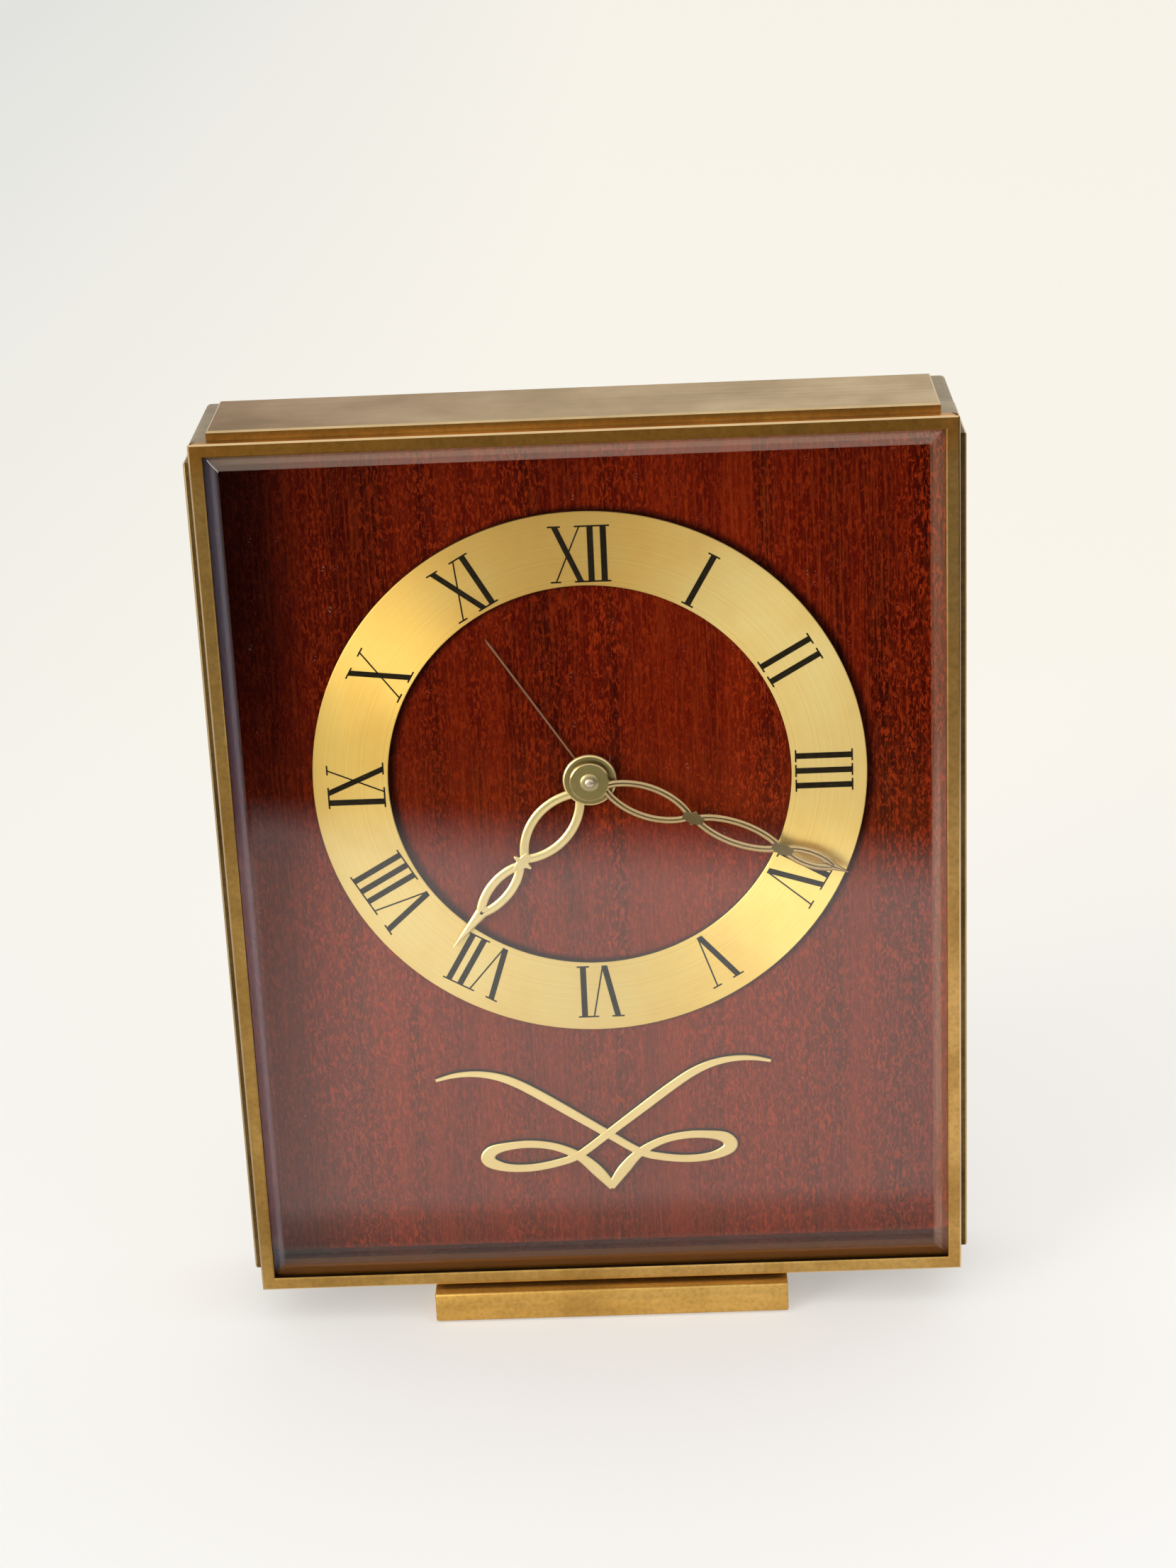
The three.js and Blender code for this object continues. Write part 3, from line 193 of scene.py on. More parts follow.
# Floor, backdrop and light, in metres
studio = {
    "floorSize": 14.0, "floorRoughness": 0.95,
    "floorNear": (0.93, 0.925, 0.92),
    "floorFar": (0.92, 0.89, 0.82), "farAlongY": (-0.1, 0.35),
    # painted shade: the floor's colour darker and greyer towards the left, where the window light is strongest
    "floorLeftShade": (0.76, 0.77, 0.75), "leftAlongX": (-0.02, -0.4),
    "ownGlow": 0.38,            # share of the floor's colour that the camera sees whatever the light
    "reflectedDarkEdge": 0.2275,        # painted reflection: past this slanted line before the clock, mirrored rays see the floor nearly black
    "reflectedDarkSlope": 0.235, "reflectedDarkSoftness": 0.024,
    # the painted near-black that mirrored rays see past that line
    "paintedReflectionDark": (0.006, 0.004, 0.003),
    # painted shade in mirrored rays alone: the floor dimmer towards its left
    "dimLeft": 0.42, "dimAlongX": (-0.052, -0.078),
    "reflectedShadowStrip": [(0.11, 0.0), (0.30, 0.40), (0.82, 0.60), (0.93, 0.0)],   # painted shadow in mirrored rays alone: a darker strip by the clock
    "shadeAlongY": (-0.060, -0.038),
    "worldColour": (1.0, 0.995, 0.98), "worldStrength": 0.99,
    "windowPlace": (-0.96, -0.86, 0.31), "windowAim": (0.0, 0.0, 0.09),
    "windowSize": 0.62, "windowPower": 10.5, "windowColour": (1.0, 0.93, 0.80),
}


def floorPaper():
    tree, shader = newMaterial("floorPaper")
    axes = objectAxes(tree)
    far = between(tree, axes["Y"], *studio["farAlongY"])
    aside = between(tree, axes["X"], *studio["leftAlongX"])
    depth = mixColour(tree, far, studio["floorNear"], studio["floorFar"])
    paper = mixColour(tree, aside, depth, studio["floorLeftShade"])
    feed(tree, shader, {"Base Color": paper, "Roughness": studio["floorRoughness"], "Specular IOR Level": 0.0})
    path = addNode(tree, "ShaderNodeLightPath", {}).outputs
    mirrored = path["Is Glossy Ray"]
    seen = calc(tree, "MAXIMUM", path["Is Camera Ray"], mirrored, path["Is Transmission Ray"])
    glow = plainShader(tree, "ShaderNodeEmission", paper)
    lit = mixShader(tree, calc(tree, "MULTIPLY", seen, studio["ownGlow"]), shader.outputs[0], glow)
    # Painted reflection and shade in mirrored rays alone: the floor nearly black past a line before the clock,
    # dimmer on its left and darker in a strip by the clock
    edge, soft = -studio["reflectedDarkEdge"], studio["reflectedDarkSoftness"]
    slanted = calc(tree, "ADD", calc(tree, "MULTIPLY", axes["X"], -studio["reflectedDarkSlope"]), axes["Y"])
    pastReflectedEdge = between(tree, slanted, edge - soft, edge + soft, 1.0, 0.0, smooth=True)
    leftwards = between(tree, axes["X"], *studio["dimAlongX"], 0.0, studio["dimLeft"])
    strip = ramp(tree, between(tree, axes["Y"], *studio["shadeAlongY"]), studio["reflectedShadowStrip"])
    dimmed = calc(tree, "MULTIPLY", calc(tree, "MAXIMUM", strip, leftwards, pastReflectedEdge), mirrored)
    dark = plainShader(tree, "ShaderNodeEmission", studio["paintedReflectionDark"])
    feed(tree, tree.nodes["Material Output"], {"Surface": mixShader(tree, dimmed, lit, dark)})


def makeFloor():
    mesh = bpy.data.meshes.new("floor")
    bm = bmesh.new()
    bmesh.ops.create_grid(bm, x_segments=1, y_segments=1, size=studio["floorSize"] / 2)
    bm.to_mesh(mesh)
    bm.free()
    floor = bpy.data.objects.new("floor", mesh)
    bpy.context.scene.collection.objects.link(floor)
    mesh.materials.append(finishes["floorPaper"])


def makeLight():
    world = bpy.data.worlds.new("room")
    bpy.context.scene.world = world
    world.use_nodes = True
    feed(world.node_tree, world.node_tree.nodes["Background"],
         {"Color": opaque(studio["worldColour"]), "Strength": studio["worldStrength"]})
    window = bpy.data.lights.new("window", "AREA")
    window.shape = "SQUARE"
    window.size = studio["windowSize"]
    window.energy = studio["windowPower"]
    window.color = studio["windowColour"]
    lamp = bpy.data.objects.new("window", window)
    bpy.context.scene.collection.objects.link(lamp)
    lamp.location = studio["windowPlace"]
    aim = Vector(studio["windowAim"]) - Vector(studio["windowPlace"])
    lamp.rotation_euler = aim.to_track_quat("-Z", "Y").to_euler()


floorPaper()
makeFloor()
makeLight()
print("studio ready")


# Aged brasses: dark, main and light tones, how fine the brush marks are per metre, roughness and how
# speckled. Each painted shade is an axis, where it starts and ends in metres, and the tones there, which paint
# light and shade by place
agedLooks = {
    "caseBrass": {
        "tones": [(0.38, 0.215, 0.055), (0.50, 0.295, 0.080), (0.61, 0.375, 0.115)],
        "brush": 420, "roughness": 0.38, "speckled": 0.6,
        # painted shade on the case's top bar, darker and browner, and painted light on its right edge
        "paintedShades": [("Z", 0.148, 0.154, 1.0, (0.89, 0.72, 0.48)),
                   ("X", 0.054, 0.058, 1.0, (1.16, 1.12, 1.20))],
    },
    "footBrass": {
        "tones": [(0.50, 0.285, 0.068), (0.63, 0.375, 0.095), (0.75, 0.465, 0.135)],
        "brush": (60, 900, 900), "roughness": 0.40, "speckled": 0.6,
    },
    "bandBrass": {
        "tones": [(0.22, 0.165, 0.085), (0.29, 0.22, 0.12), (0.36, 0.28, 0.155)],
        "brush": (60, 1400, 1400), "roughness": 0.42, "speckled": 0.4,
    },
    "topBrass": {
        "tones": [(0.38, 0.265, 0.126), (0.475, 0.335, 0.165), (0.545, 0.395, 0.204)],
        "brush": (14, 900, 900), "roughness": 0.44, "speckled": 0.15,
        # painted shade: the top panel darker and browner towards its left
        "paintedShades": [("X", -0.058, 0.03, (0.56, 0.45, 0.30), 1.0)],
    },
    # painted shade: a dark copy of the case brass for the side panels' end faces, which stand in shadow
    "shadedEndBrass": {
        "tones": [(0.10, 0.06, 0.02), (0.16, 0.10, 0.035), (0.22, 0.14, 0.05)],
        "brush": 420, "roughness": 0.5,
    },
    "sideBrass": {
        "tones": [(0.46, 0.265, 0.070), (0.50, 0.295, 0.080), (0.54, 0.325, 0.092)],
        "brush": (1400, 1400, 40), "roughness": 0.36, "speckled": 0.5,
    },
    "spacerBrass": {
        "tones": [(0.13, 0.055, 0.012), (0.24, 0.115, 0.028), (0.34, 0.18, 0.05)],
        "brush": (1500, 1500, 50), "roughness": 0.45,
    },
    "plateBrass": {
        "tones": [(0.50, 0.35, 0.13), (0.58, 0.41, 0.16), (0.65, 0.47, 0.19)],
        "brush": (60, 60, 1200), "roughness": 0.36, "speckled": 0.3,
    },
}
agedPattern = {
    "clouds": 60, "specks": 1300,       # per metre
    "speckDark": 0.2, "speckLight": 0.12,
    "markStrength": 0.2, "markDepth": 0.00002,
    "dullDark": 0.06, "shinyLight": 0.04,       # how far the roughness goes up and down with the clouds
}


def agedBrass(name, tones, brush, roughness, speckled=1.0, paintedShades=()):
    tree, shader = newMaterial(name)
    cloud = grainy(tree, agedPattern["clouds"], detail=3, roughness=0.5)
    speckle = grainy(tree, agedPattern["specks"], detail=2, roughness=0.6)
    marks = grainy(tree, brush, detail=3, roughness=0.5)
    tone = ramp(tree, cloud, list(zip((0.32, 0.5, 0.68), tones)))
    fleck = ramp(tree, speckle, [(0.34, 1 - agedPattern["speckDark"] * speckled), (0.5, 1.0),
                                 (0.68, 1 + agedPattern["speckLight"] * speckled)])
    brushed = ramp(tree, marks, [(0.3, 0.91), (0.7, 1.06)])
    paintedShade = [ramp(tree, between(tree, objectAxes(tree)[axis], start, end), [(0.0, first), (1.0, last)])
              for axis, start, end, first, last in paintedShades]
    rough = ramp(tree, cloud, [(0.3, roughness + agedPattern["dullDark"]),
                               (0.7, roughness - agedPattern["shinyLight"])])
    feed(tree, shader, {"Base Color": tinted(tree, tone, fleck, brushed, *paintedShade), "Metallic": 1.0,
                        "Roughness": rough})
    addBump(tree, shader, marks, agedPattern["markStrength"], agedPattern["markDepth"])


# Smooth metals: the tone spreads this share to both sides of the colour
plainLooks = {
    "edgeBrass": {"colour": (0.60, 0.44, 0.23), "roughness": 0.34},
    # lighter, smoother brass for the bezel's rounded outer front edge: partly wear, partly a painted highlight
    "wornHighlightBrass": {"colour": (0.72, 0.51, 0.27), "roughness": 0.22, "spread": 0.05},
    "rebateDark": {"colour": (0.030, 0.016, 0.006), "roughness": 0.6},
    "worksBrass": {"colour": (0.72, 0.52, 0.20), "roughness": 0.30},
    "keyBrass": {"colour": (0.70, 0.49, 0.19), "roughness": 0.26, "spread": 0.06},
    "pinBrass": {"colour": (0.80, 0.70, 0.54), "roughness": 0.38, "spread": 0.03},
    "colletBrass": {"colour": (0.58, 0.50, 0.27), "roughness": 0.40, "spread": 0.03},
    "satinSteel": {"colour": (0.50, 0.51, 0.52), "roughness": 0.34},
    "bluedSteel": {"colour": (0.06, 0.09, 0.18), "roughness": 0.30},
    "handGold": {"colour": (1.0, 0.79, 0.37), "roughness": 0.30, "spread": 0.03, "metal": 0.75},
    # painted shade: darker copies of the hands' gilt for the minute hand, which catches less window light, and
    # darker still for its links
    "shadedMinuteGold": {"colour": (0.66, 0.48, 0.24), "roughness": 0.22, "spread": 0.05},
    "shadedLinkBrass": {"colour": (0.30, 0.23, 0.10), "roughness": 0.34, "spread": 0.08},
    "hubBrass": {"colour": (0.42, 0.35, 0.14), "roughness": 0.38, "spread": 0.06},
    "scrollGold": {"colour": (1.0, 0.77, 0.35), "roughness": 0.5, "spread": 0.04, "metal": 0.7},
    # painted shade: a near-black copy of the gilt for the side walls of the ring and the scroll
    "shadedWallBrass": {"colour": (0.035, 0.022, 0.008), "roughness": 0.6, "spread": 0.1, "metal": 0.3},
    "alarmGold": {"colour": (0.50, 0.30, 0.18), "roughness": 0.40, "spread": 0.05},
}
plainPattern = {"clouds": 150, "dullDark": 0.05, "shinyLight": 0.04}


def plainMetal(name, colour, roughness, spread=0.12, metal=1.0):
    tree, shader = newMaterial(name)
    cloud = grainy(tree, plainPattern["clouds"])
    low = tuple(channel * (1 - spread) for channel in colour)
    high = tuple(min(channel * (1 + spread), 1.0) for channel in colour)
    rough = ramp(tree, cloud, [(0.3, roughness + plainPattern["dullDark"]),
                               (0.7, roughness - plainPattern["shinyLight"])])
    feed(tree, shader, {"Base Color": ramp(tree, cloud, [(0.3, low), (0.7, high)]), "Metallic": metal,
                        "Roughness": rough})


# The ring's gilt, turned in fine grooves, with painted light and shade by direction from the middle of the
# dial: darker towards the top, warmer towards three sides, and less metallic, so brighter, along one line. A
# side is a direction from the middle of the dial
ringLook = {
    "main": (1.0, 0.74, 0.27),
    "dark": (0.95, 0.68, 0.23),
    "light": (1.0, 0.79, 0.32),
    "grooves": 2600, "clouds": 90,      # per metre
    "grooveDark": 0.93, "grooveLight": 1.04,
    "metal": 0.66, "brightMetal": 0.36, "brightLine": (0.848, 0, 0.530),
    "upperShade": 0.76, "shadedSide": (-0.259, 0, 0.966),
    "litWarmSides": [((-0.906, 0, 0.423), (1.0, 0.90, 0.62)), ((0.643, 0, -0.766), (1.0, 0.96, 0.76)),
                  ((-0.087, 0, 0.996), (1.0, 0.86, 0.62))],
    "roughness": 0.43,
    "anisotropy": 0.9,
}
ringShape = {"outer": 45.57, "inner": 33.19, "edge": 0.12}
dialCentre = (0, 0, (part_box("chapter_ring")[0][2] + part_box("chapter_ring")[1][2]) / 2)


def turnedGold():
    tree, shader = newMaterial("ringGold")
    offset = placed(tree, centre=dialCentre)
    along = vectorCalc(tree, "NORMALIZE", vectorCalc(tree, "MULTIPLY", offset, (1, 0, 1)))
    radius = addNode(tree, "ShaderNodeCombineXYZ", {0: vectorCalc(tree, "LENGTH", offset)}).outputs[0]
    cloud = grainy(tree, ringLook["clouds"], detail=3)
    tone = ramp(tree, cloud, [(0.3, ringLook["dark"]), (0.5, ringLook["main"]), (0.75, ringLook["light"])])
    lines = noise(tree, radius, detail=3, scale=ringLook["grooves"])
    grooves = ramp(tree, lines, [(0.3, ringLook["grooveDark"]), (0.7, ringLook["grooveLight"])])
    upwards = vectorCalc(tree, "DOT_PRODUCT", along, ringLook["shadedSide"])
    upperShaded = ramp(tree, upwards, [(0.5, 1.0), (1.0, ringLook["upperShade"])])
    litWarmed = [ramp(tree, vectorCalc(tree, "DOT_PRODUCT", along, side), [(0.75, 1.0), (0.95, litTone)])
              for side, litTone in ringLook["litWarmSides"]]
    cross = vectorCalc(tree, "DOT_PRODUCT", along, ringLook["brightLine"])
    bright = calc(tree, "MULTIPLY", cross, cross)
    metal = ramp(tree, bright, [(0.3, ringLook["metal"]), (1.0, ringLook["brightMetal"])])
    feed(tree, shader, {
        "Base Color": tinted(tree, tone, grooves, upperShaded, *litWarmed), "Tangent": along, "Metallic": metal,
        "Roughness": ringLook["roughness"], "Anisotropic": ringLook["anisotropy"],
    })


# Grains are per metre along X, Y and Z. A level is where it starts and ends in metres, and its values there
woodLook = {
    "deep": (0.030, 0.0014, 0.0004),
    "main": (0.080, 0.0032, 0.0006),
    "warm": (0.122, 0.0068, 0.0011), "bandGrain": (130, 1, 4),
    "thread": (0.20, 0.025, 0.0035), "threadGrain": (2100, 1, 60),
    "curl": (0.27, 0.025, 0.004), "curlGrain": (2050, 1, 720),
    "figureGrain": (62, 1, 9),      # where curls take the place of straight threads
    "poreShade": 0.75, "poreGrain": (3300, 1, 420),
    # towards the bottom the grain is blended into an even brown: calmer grain and a painted haze of the
    # glass's reflection
    "even": (0.100, 0.0330, 0.0110), "evenLevel": (0.105, 0.075, 0.0, 0.32),
    "leftShadowLevel": (0.125, 0.08, 0.22, 0.9), "leftShadowAcross": (-0.057, -0.040),     # painted shadow along the left edge
    # painted light and shade: the wood darker above and paler towards the bottom
    "paintedLightLevel": (0.105, 0.07, 0.86, 1.32),
    # painted light and shade: at the top the wood darker on the left and brighter on the right
    "leftLevel": (0.12, 0.07, 0.84, 1.10), "rightLevel": (0.12, 0.07, 1.30, 1.12),
    "rightwards": (-0.025, 0.045),
    "roughness": 0.42, "shine": 0.02,
    "lineAcross": 0.9, "lineUp": 0.2, "lineSoftness": 1.0, "lineUnder": 0.3,     # mm
    "ringShadowDark": 0.25,
}


# Painted shadow of the ring on the front of the board, along its edges and a little wider on its right
def paintedRingShadow(tree):
    centre = (woodLook["lineAcross"] * mm, 0, dialCentre[2] + woodLook["lineUp"] * mm)
    radius = vectorCalc(tree, "LENGTH", placed(tree, (1 / mm, 0, 1 / mm), centre))
    outer, inner = ringShape["outer"], ringShape["inner"]
    soft, under = woodLook["lineSoftness"], woodLook["lineUnder"]
    outside = between(tree, radius, outer + soft, outer - under, smooth=True)
    inside = between(tree, radius, inner - soft, inner + under, smooth=True)
    onFront = calc(tree, "LESS_THAN", objectAxes(tree)["Y"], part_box("dial_board")[0][1] + 0.1 * mm)
    line = calc(tree, "MULTIPLY", outside, inside, onFront)
    return between(tree, line, 0.0, 1.0, 1.0, woodLook["ringShadowDark"])


def mahogany():
    tree, shader = newMaterial("mahogany")
    bands = grainy(tree, woodLook["bandGrain"], detail=3, roughness=0.6, distortion=0.3)
    threads = grainy(tree, woodLook["threadGrain"], detail=3, roughness=0.6, distortion=0.2)
    curls = grainy(tree, woodLook["curlGrain"], detail=3, roughness=0.6, distortion=1.1)
    figure = grainy(tree, woodLook["figureGrain"], detail=2, roughness=0.5, distortion=0.5)
    pores = grainy(tree, woodLook["poreGrain"], detail=2, roughness=0.5)
    tone = ramp(tree, bands, [(0.34, woodLook["deep"]), (0.5, woodLook["main"]), (0.64, woodLook["warm"])])
    straight = calc(tree, "MULTIPLY", ramp(tree, threads, [(0.48, 0.0), (0.66, 0.62)]),
                    ramp(tree, figure, [(0.40, 1.0), (0.58, 0.5)]))
    curly = calc(tree, "MULTIPLY", ramp(tree, curls, [(0.48, 0.0), (0.62, 0.95)]),
                 ramp(tree, figure, [(0.40, 0.45), (0.58, 1.0)]))
    colour = mixColour(tree, straight, tone, woodLook["thread"])
    colour = mixColour(tree, curly, colour, woodLook["curl"])
    colour = tinted(tree, colour, ramp(tree, pores, [(0.34, woodLook["poreShade"]), (0.46, 1.0)]))
    axes = objectAxes(tree)
    colour = mixColour(tree, between(tree, axes["Z"], *woodLook["evenLevel"]), colour, woodLook["even"])
    edge = between(tree, axes["Z"], *woodLook["leftShadowLevel"])
    leftShadowed = between(tree, axes["X"], *woodLook["leftShadowAcross"], edge, smooth=True)
    left = between(tree, axes["Z"], *woodLook["leftLevel"])
    right = between(tree, axes["Z"], *woodLook["rightLevel"])
    brighterRightwards = between(tree, axes["X"], *woodLook["rightwards"], left, right)
    paintedLighter = between(tree, axes["Z"], *woodLook["paintedLightLevel"], smooth=True)
    # Painted light and shade, multiplied into the wood's colour
    level = calc(tree, "MULTIPLY", leftShadowed, brighterRightwards, paintedLighter, paintedRingShadow(tree))
    feed(tree, shader, {"Base Color": tinted(tree, colour, level), "Roughness": woodLook["roughness"],
                        "Specular IOR Level": woodLook["shine"]})


# Painted reflection: each bevel mixes in its own flat tone for what it shows of the room. A bevel is an axis,
# its lower or upper end, its width in mm, how much tone it takes and which
glassLook = {
    "tint": (0.985, 0.99, 0.985), "shadowTint": (0.95, 0.955, 0.95), "specular": 1.0, "ior": 1.545,
    "paintedBevelTones": [
        ("X", 0, 2.7, 0.06, (0.52, 0.50, 0.66)), ("X", 1, 3.1, 0.075, (0.95, 0.52, 0.33)),
        ("Z", 0, 3.4, 0.5, (0.125, 0.046, 0.007)), ("Z", 1, 3.0, 0.075, (0.95, 0.64, 0.42)),
    ],
    "dustGrain": (900, 1, 900), "dustAmount": 0.10, "dustTone": (0.8, 0.74, 0.68),
}


def clearGlass():
    tree, shader = newMaterial("clearGlass")
    feed(tree, shader, {
        "Base Color": opaque(glassLook["tint"]), "Roughness": 0.0, "IOR": glassLook["ior"],
        "Specular IOR Level": glassLook["specular"], "Transmission Weight": 1.0,
    })
    axes = objectAxes(tree)
    steps = []
    for axis, end, width, amount, tone in glassLook["paintedBevelTones"]:
        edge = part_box("front_glass")[end]["XYZ".index(axis)]
        inwards = width * mm * (1 - 2 * end)
        steps.append(between(tree, axes[axis], edge, edge + inwards, clamp=False))
    nearest = calc(tree, "MINIMUM", *steps)
    inBevel = between(tree, nearest, 1.0, 0.96)
    surface = shader.outputs[0]
    for step, (axis, end, width, amount, tone) in zip(steps, glassLook["paintedBevelTones"]):
        own = calc(tree, "LESS_THAN", calc(tree, "SUBTRACT", step, nearest), 0.0001)
        surface = mixShader(tree, calc(tree, "MULTIPLY", own, amount, inBevel), surface,
                            plainShader(tree, "ShaderNodeBsdfDiffuse", tone))
    specks = grainy(tree, glassLook["dustGrain"], detail=2, roughness=0.6)
    dust = ramp(tree, specks, [(0.70, 0.0), (0.80, glassLook["dustAmount"])])
    surface = mixShader(tree, dust, surface, plainShader(tree, "ShaderNodeBsdfDiffuse", glassLook["dustTone"]))
    # Shadow and diffuse rays pass straight through
    path = addNode(tree, "ShaderNodeLightPath", {}).outputs
    passing = calc(tree, "MAXIMUM", path["Is Shadow Ray"], path["Is Diffuse Ray"])
    through = plainShader(tree, "ShaderNodeBsdfTransparent", glassLook["shadowTint"])
    feed(tree, tree.nodes["Material Output"], {"Surface": mixShader(tree, passing, surface, through)})


enamelLook = {"dark": (0.009, 0.006, 0.002), "light": (0.017, 0.012, 0.005), "grain": 900, "roughness": 0.5,
              "shine": 0.1}


def blackEnamel():
    tree, shader = newMaterial("blackEnamel")
    cloud = grainy(tree, enamelLook["grain"], detail=2)
    tone = ramp(tree, cloud, [(0.3, enamelLook["dark"]), (0.7, enamelLook["light"])])
    feed(tree, shader, {"Base Color": tone, "Roughness": enamelLook["roughness"],
                        "Specular IOR Level": enamelLook["shine"]})


feltLook = {"dark": (0.012, 0.035, 0.018), "light": (0.035, 0.085, 0.045), "grain": 1800, "roughness": 0.95,
            "shine": 0.2, "fibreStrength": 0.8, "fibreDepth": 0.0002}


def greenFelt():
    tree, shader = newMaterial("greenFelt")
    fibres = grainy(tree, feltLook["grain"], detail=5, roughness=0.7)
    tone = ramp(tree, fibres, [(0.3, feltLook["dark"]), (0.7, feltLook["light"])])
    feed(tree, shader, {"Base Color": tone, "Roughness": feltLook["roughness"],
                        "Specular IOR Level": feltLook["shine"]})
    addBump(tree, shader, fibres, feltLook["fibreStrength"], feltLook["fibreDepth"])


for metalName, look in agedLooks.items():
    agedBrass(metalName, **look)
for metalName, look in plainLooks.items():
    plainMetal(metalName, **look)
turnedGold()
mahogany()
clearGlass()
blackEnamel()
greenFelt()
print("finishes ready:", len(finishes))


# Making pieces. An edge is sharp past an angle, and where a wide face meets its narrow bevel
edgeShading = {"sharpAngle": 32, "bevelAngle": 4, "widerBy": 3}


def shadeEdges(bm):
    for edge in bm.edges:
        angle = math.degrees(edge.calc_face_angle(math.pi))
        areas = sorted(side.calc_area() for side in edge.link_faces)
        flatToBevel = (len(areas) == 2 and areas[0] * edgeShading["widerBy"] < areas[1]
                       and angle > edgeShading["bevelAngle"])
        edge.smooth = angle < edgeShading["sharpAngle"] and not flatToBevel


def finishPiece(bm, name, body, coats, replaced=(), smooth=False):
    bmesh.ops.recalc_face_normals(bm, faces=bm.faces)
    if smooth:
        shadeEdges(bm)
    mesh = bpy.data.meshes.new(name)
    bm.to_mesh(mesh)
    bm.free()
    for coat in coats:
        mesh.materials.append(finishes[coat])
    for polygon in mesh.polygons:
        polygon.use_smooth = smooth
    piece = bpy.data.objects.new(name, mesh)
    bpy.context.scene.collection.objects.link(piece)
    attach(piece, body)
    if replaced:
        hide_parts(*replaced)


# Draws a profile, given as points across and in Y, along a row of stations
def sweep(bm, profile, stations, closed=False):
    verts = [bm.verts.new(stations[0] @ Vector((*point, 0))) for point in profile]
    edges = [bm.edges.new((verts[i], verts[(i + 1) % len(verts)])) for i in range(len(verts))]
    firstEdges = edges
    for before, after in zip(stations, stations[1:]):
        made = bmesh.ops.extrude_edge_only(bm, edges=edges)["geom"]
        moved = [item for item in made if isinstance(item, bmesh.types.BMVert)]
        reached = set(moved)
        edges = [item for item in made
                 if isinstance(item, bmesh.types.BMEdge) and reached.issuperset(item.verts)]
        bmesh.ops.transform(bm, matrix=after @ before.inverted(), verts=moved)
    if closed:
        bmesh.ops.bridge_loops(bm, edges=firstEdges + edges)
    else:
        bmesh.ops.edgeloop_fill(bm, edges=firstEdges)
        bmesh.ops.edgeloop_fill(bm, edges=edges)


# Stations of a stroke whose points are right, up and width in mm
def strokeStations(path, place, rise=0.0):
    stations = []
    for i, point in enumerate(path):
        ahead = path[min(i + 1, len(path) - 1)] - path[max(i - 1, 0)]
        along = Vector((ahead[0], 0, ahead[1])).normalized()
        width = point[2] * mm
        across = Vector((along.z, 0, -along.x)) * width
        stations.append(place @ Matrix((
            (across.x, 0, along.x, point[0] * mm), (0, 1, 0, rise * i / len(path)),
            (across.z, 0, along.z, point[1] * mm), (0, 0, 0, 1),
        )))
    return stations


# Turns a profile, given as radius and Y, about the middle of the dial
def turned(bm, profile, steps):
    verts = [bm.verts.new((radius, y, dialCentre[2])) for radius, y in profile]
    edges = [bm.edges.new(pair) for pair in zip(verts, verts[1:])]
    bmesh.ops.spin(bm, geom=verts + edges, cent=dialCentre, axis=(0, 1, 0), angle=math.tau, steps=steps,
                   use_merge=True, use_duplicate=False)
    bmesh.ops.remove_doubles(bm, verts=bm.verts, dist=tiny / 10)


def block(bm, low, high):
    size = [b - a for a, b in zip(low, high)]
    middle = [(a + b) / 2 for a, b in zip(low, high)]
    place = Matrix.Translation(middle) @ Matrix.Diagonal((*size, 1))
    return bmesh.ops.create_cube(bm, size=1, matrix=place)["verts"]


def edgesOf(verts, test):
    edges = {edge for vert in verts for edge in vert.link_edges}
    return [edge for edge in edges if test(edge)]


def softenEdges(bm, edges, width, segments=2, material=-1):
    bmesh.ops.bevel(bm, geom=edges, offset=width, offset_type="OFFSET", affect="EDGES", segments=segments,
                    profile=0.5, material=material, clamp_overlap=True)


def frontBack(node):
    low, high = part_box(node)
    return low[1], high[1]


# Case
bezelShape = {"face": 2.2, "lip": 1.0, "rim": 0.7, "round": 0.28, "innerChamfer": 0.22, "corner": 1.3}


def makeBezel():
    low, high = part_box("front_bezel")
    front, back = low[1], high[1]
    face, lip, rim, soft, chamfer = (
        bezelShape[key] * mm for key in ("face", "lip", "rim", "round", "innerChamfer"))
    halfWidth, middle, halfHeight = high[0], (low[2] + high[2]) / 2, (high[2] - low[2]) / 2
    profile = [(0, front + soft), (soft * 0.3, front + soft * 0.3), (soft, front), (face - chamfer, front),
               (face, front + chamfer), (face, front + lip), (rim, front + lip), (rim, back), (0, back)]
    stations = [Matrix(((-right, 0, up, right * halfWidth), (0, 1, 0, 0),
                        (-up, 0, -right, middle + up * halfHeight), (0, 0, 0, 1)))
                for right, up in ((-1, -1), (1, -1), (1, 1), (-1, 1))]
    bm = bmesh.new()
    sweep(bm, profile, stations, closed=True)
    for side in bm.faces:
        centre = side.calc_center_median()
        inwards = min(halfWidth - abs(centre.x), halfHeight - abs(centre.z - middle))
        # The rounded outer front edge takes the worn and painted-highlight brass, the rebate's inner wall the
        # dark brass
        if centre.y < front + soft and inwards < soft:
            side.material_index = 1
        elif front + chamfer < centre.y < front + lip - tiny and abs(inwards - face) < tiny * 10:
            side.material_index = 2
    corners = edgesOf(bm.verts, lambda edge: abs(edge.verts[0].co.y - edge.verts[1].co.y) > 1 * mm
                      and abs(edge.verts[0].co.x) > halfWidth - 0.1 * mm)
    softenEdges(bm, corners, bezelShape["corner"] * mm, 4)
    finishPiece(bm, "bezelFrame", "case", ["caseBrass", "wornHighlightBrass", "rebateDark"], ["front_bezel"],
                smooth=True)


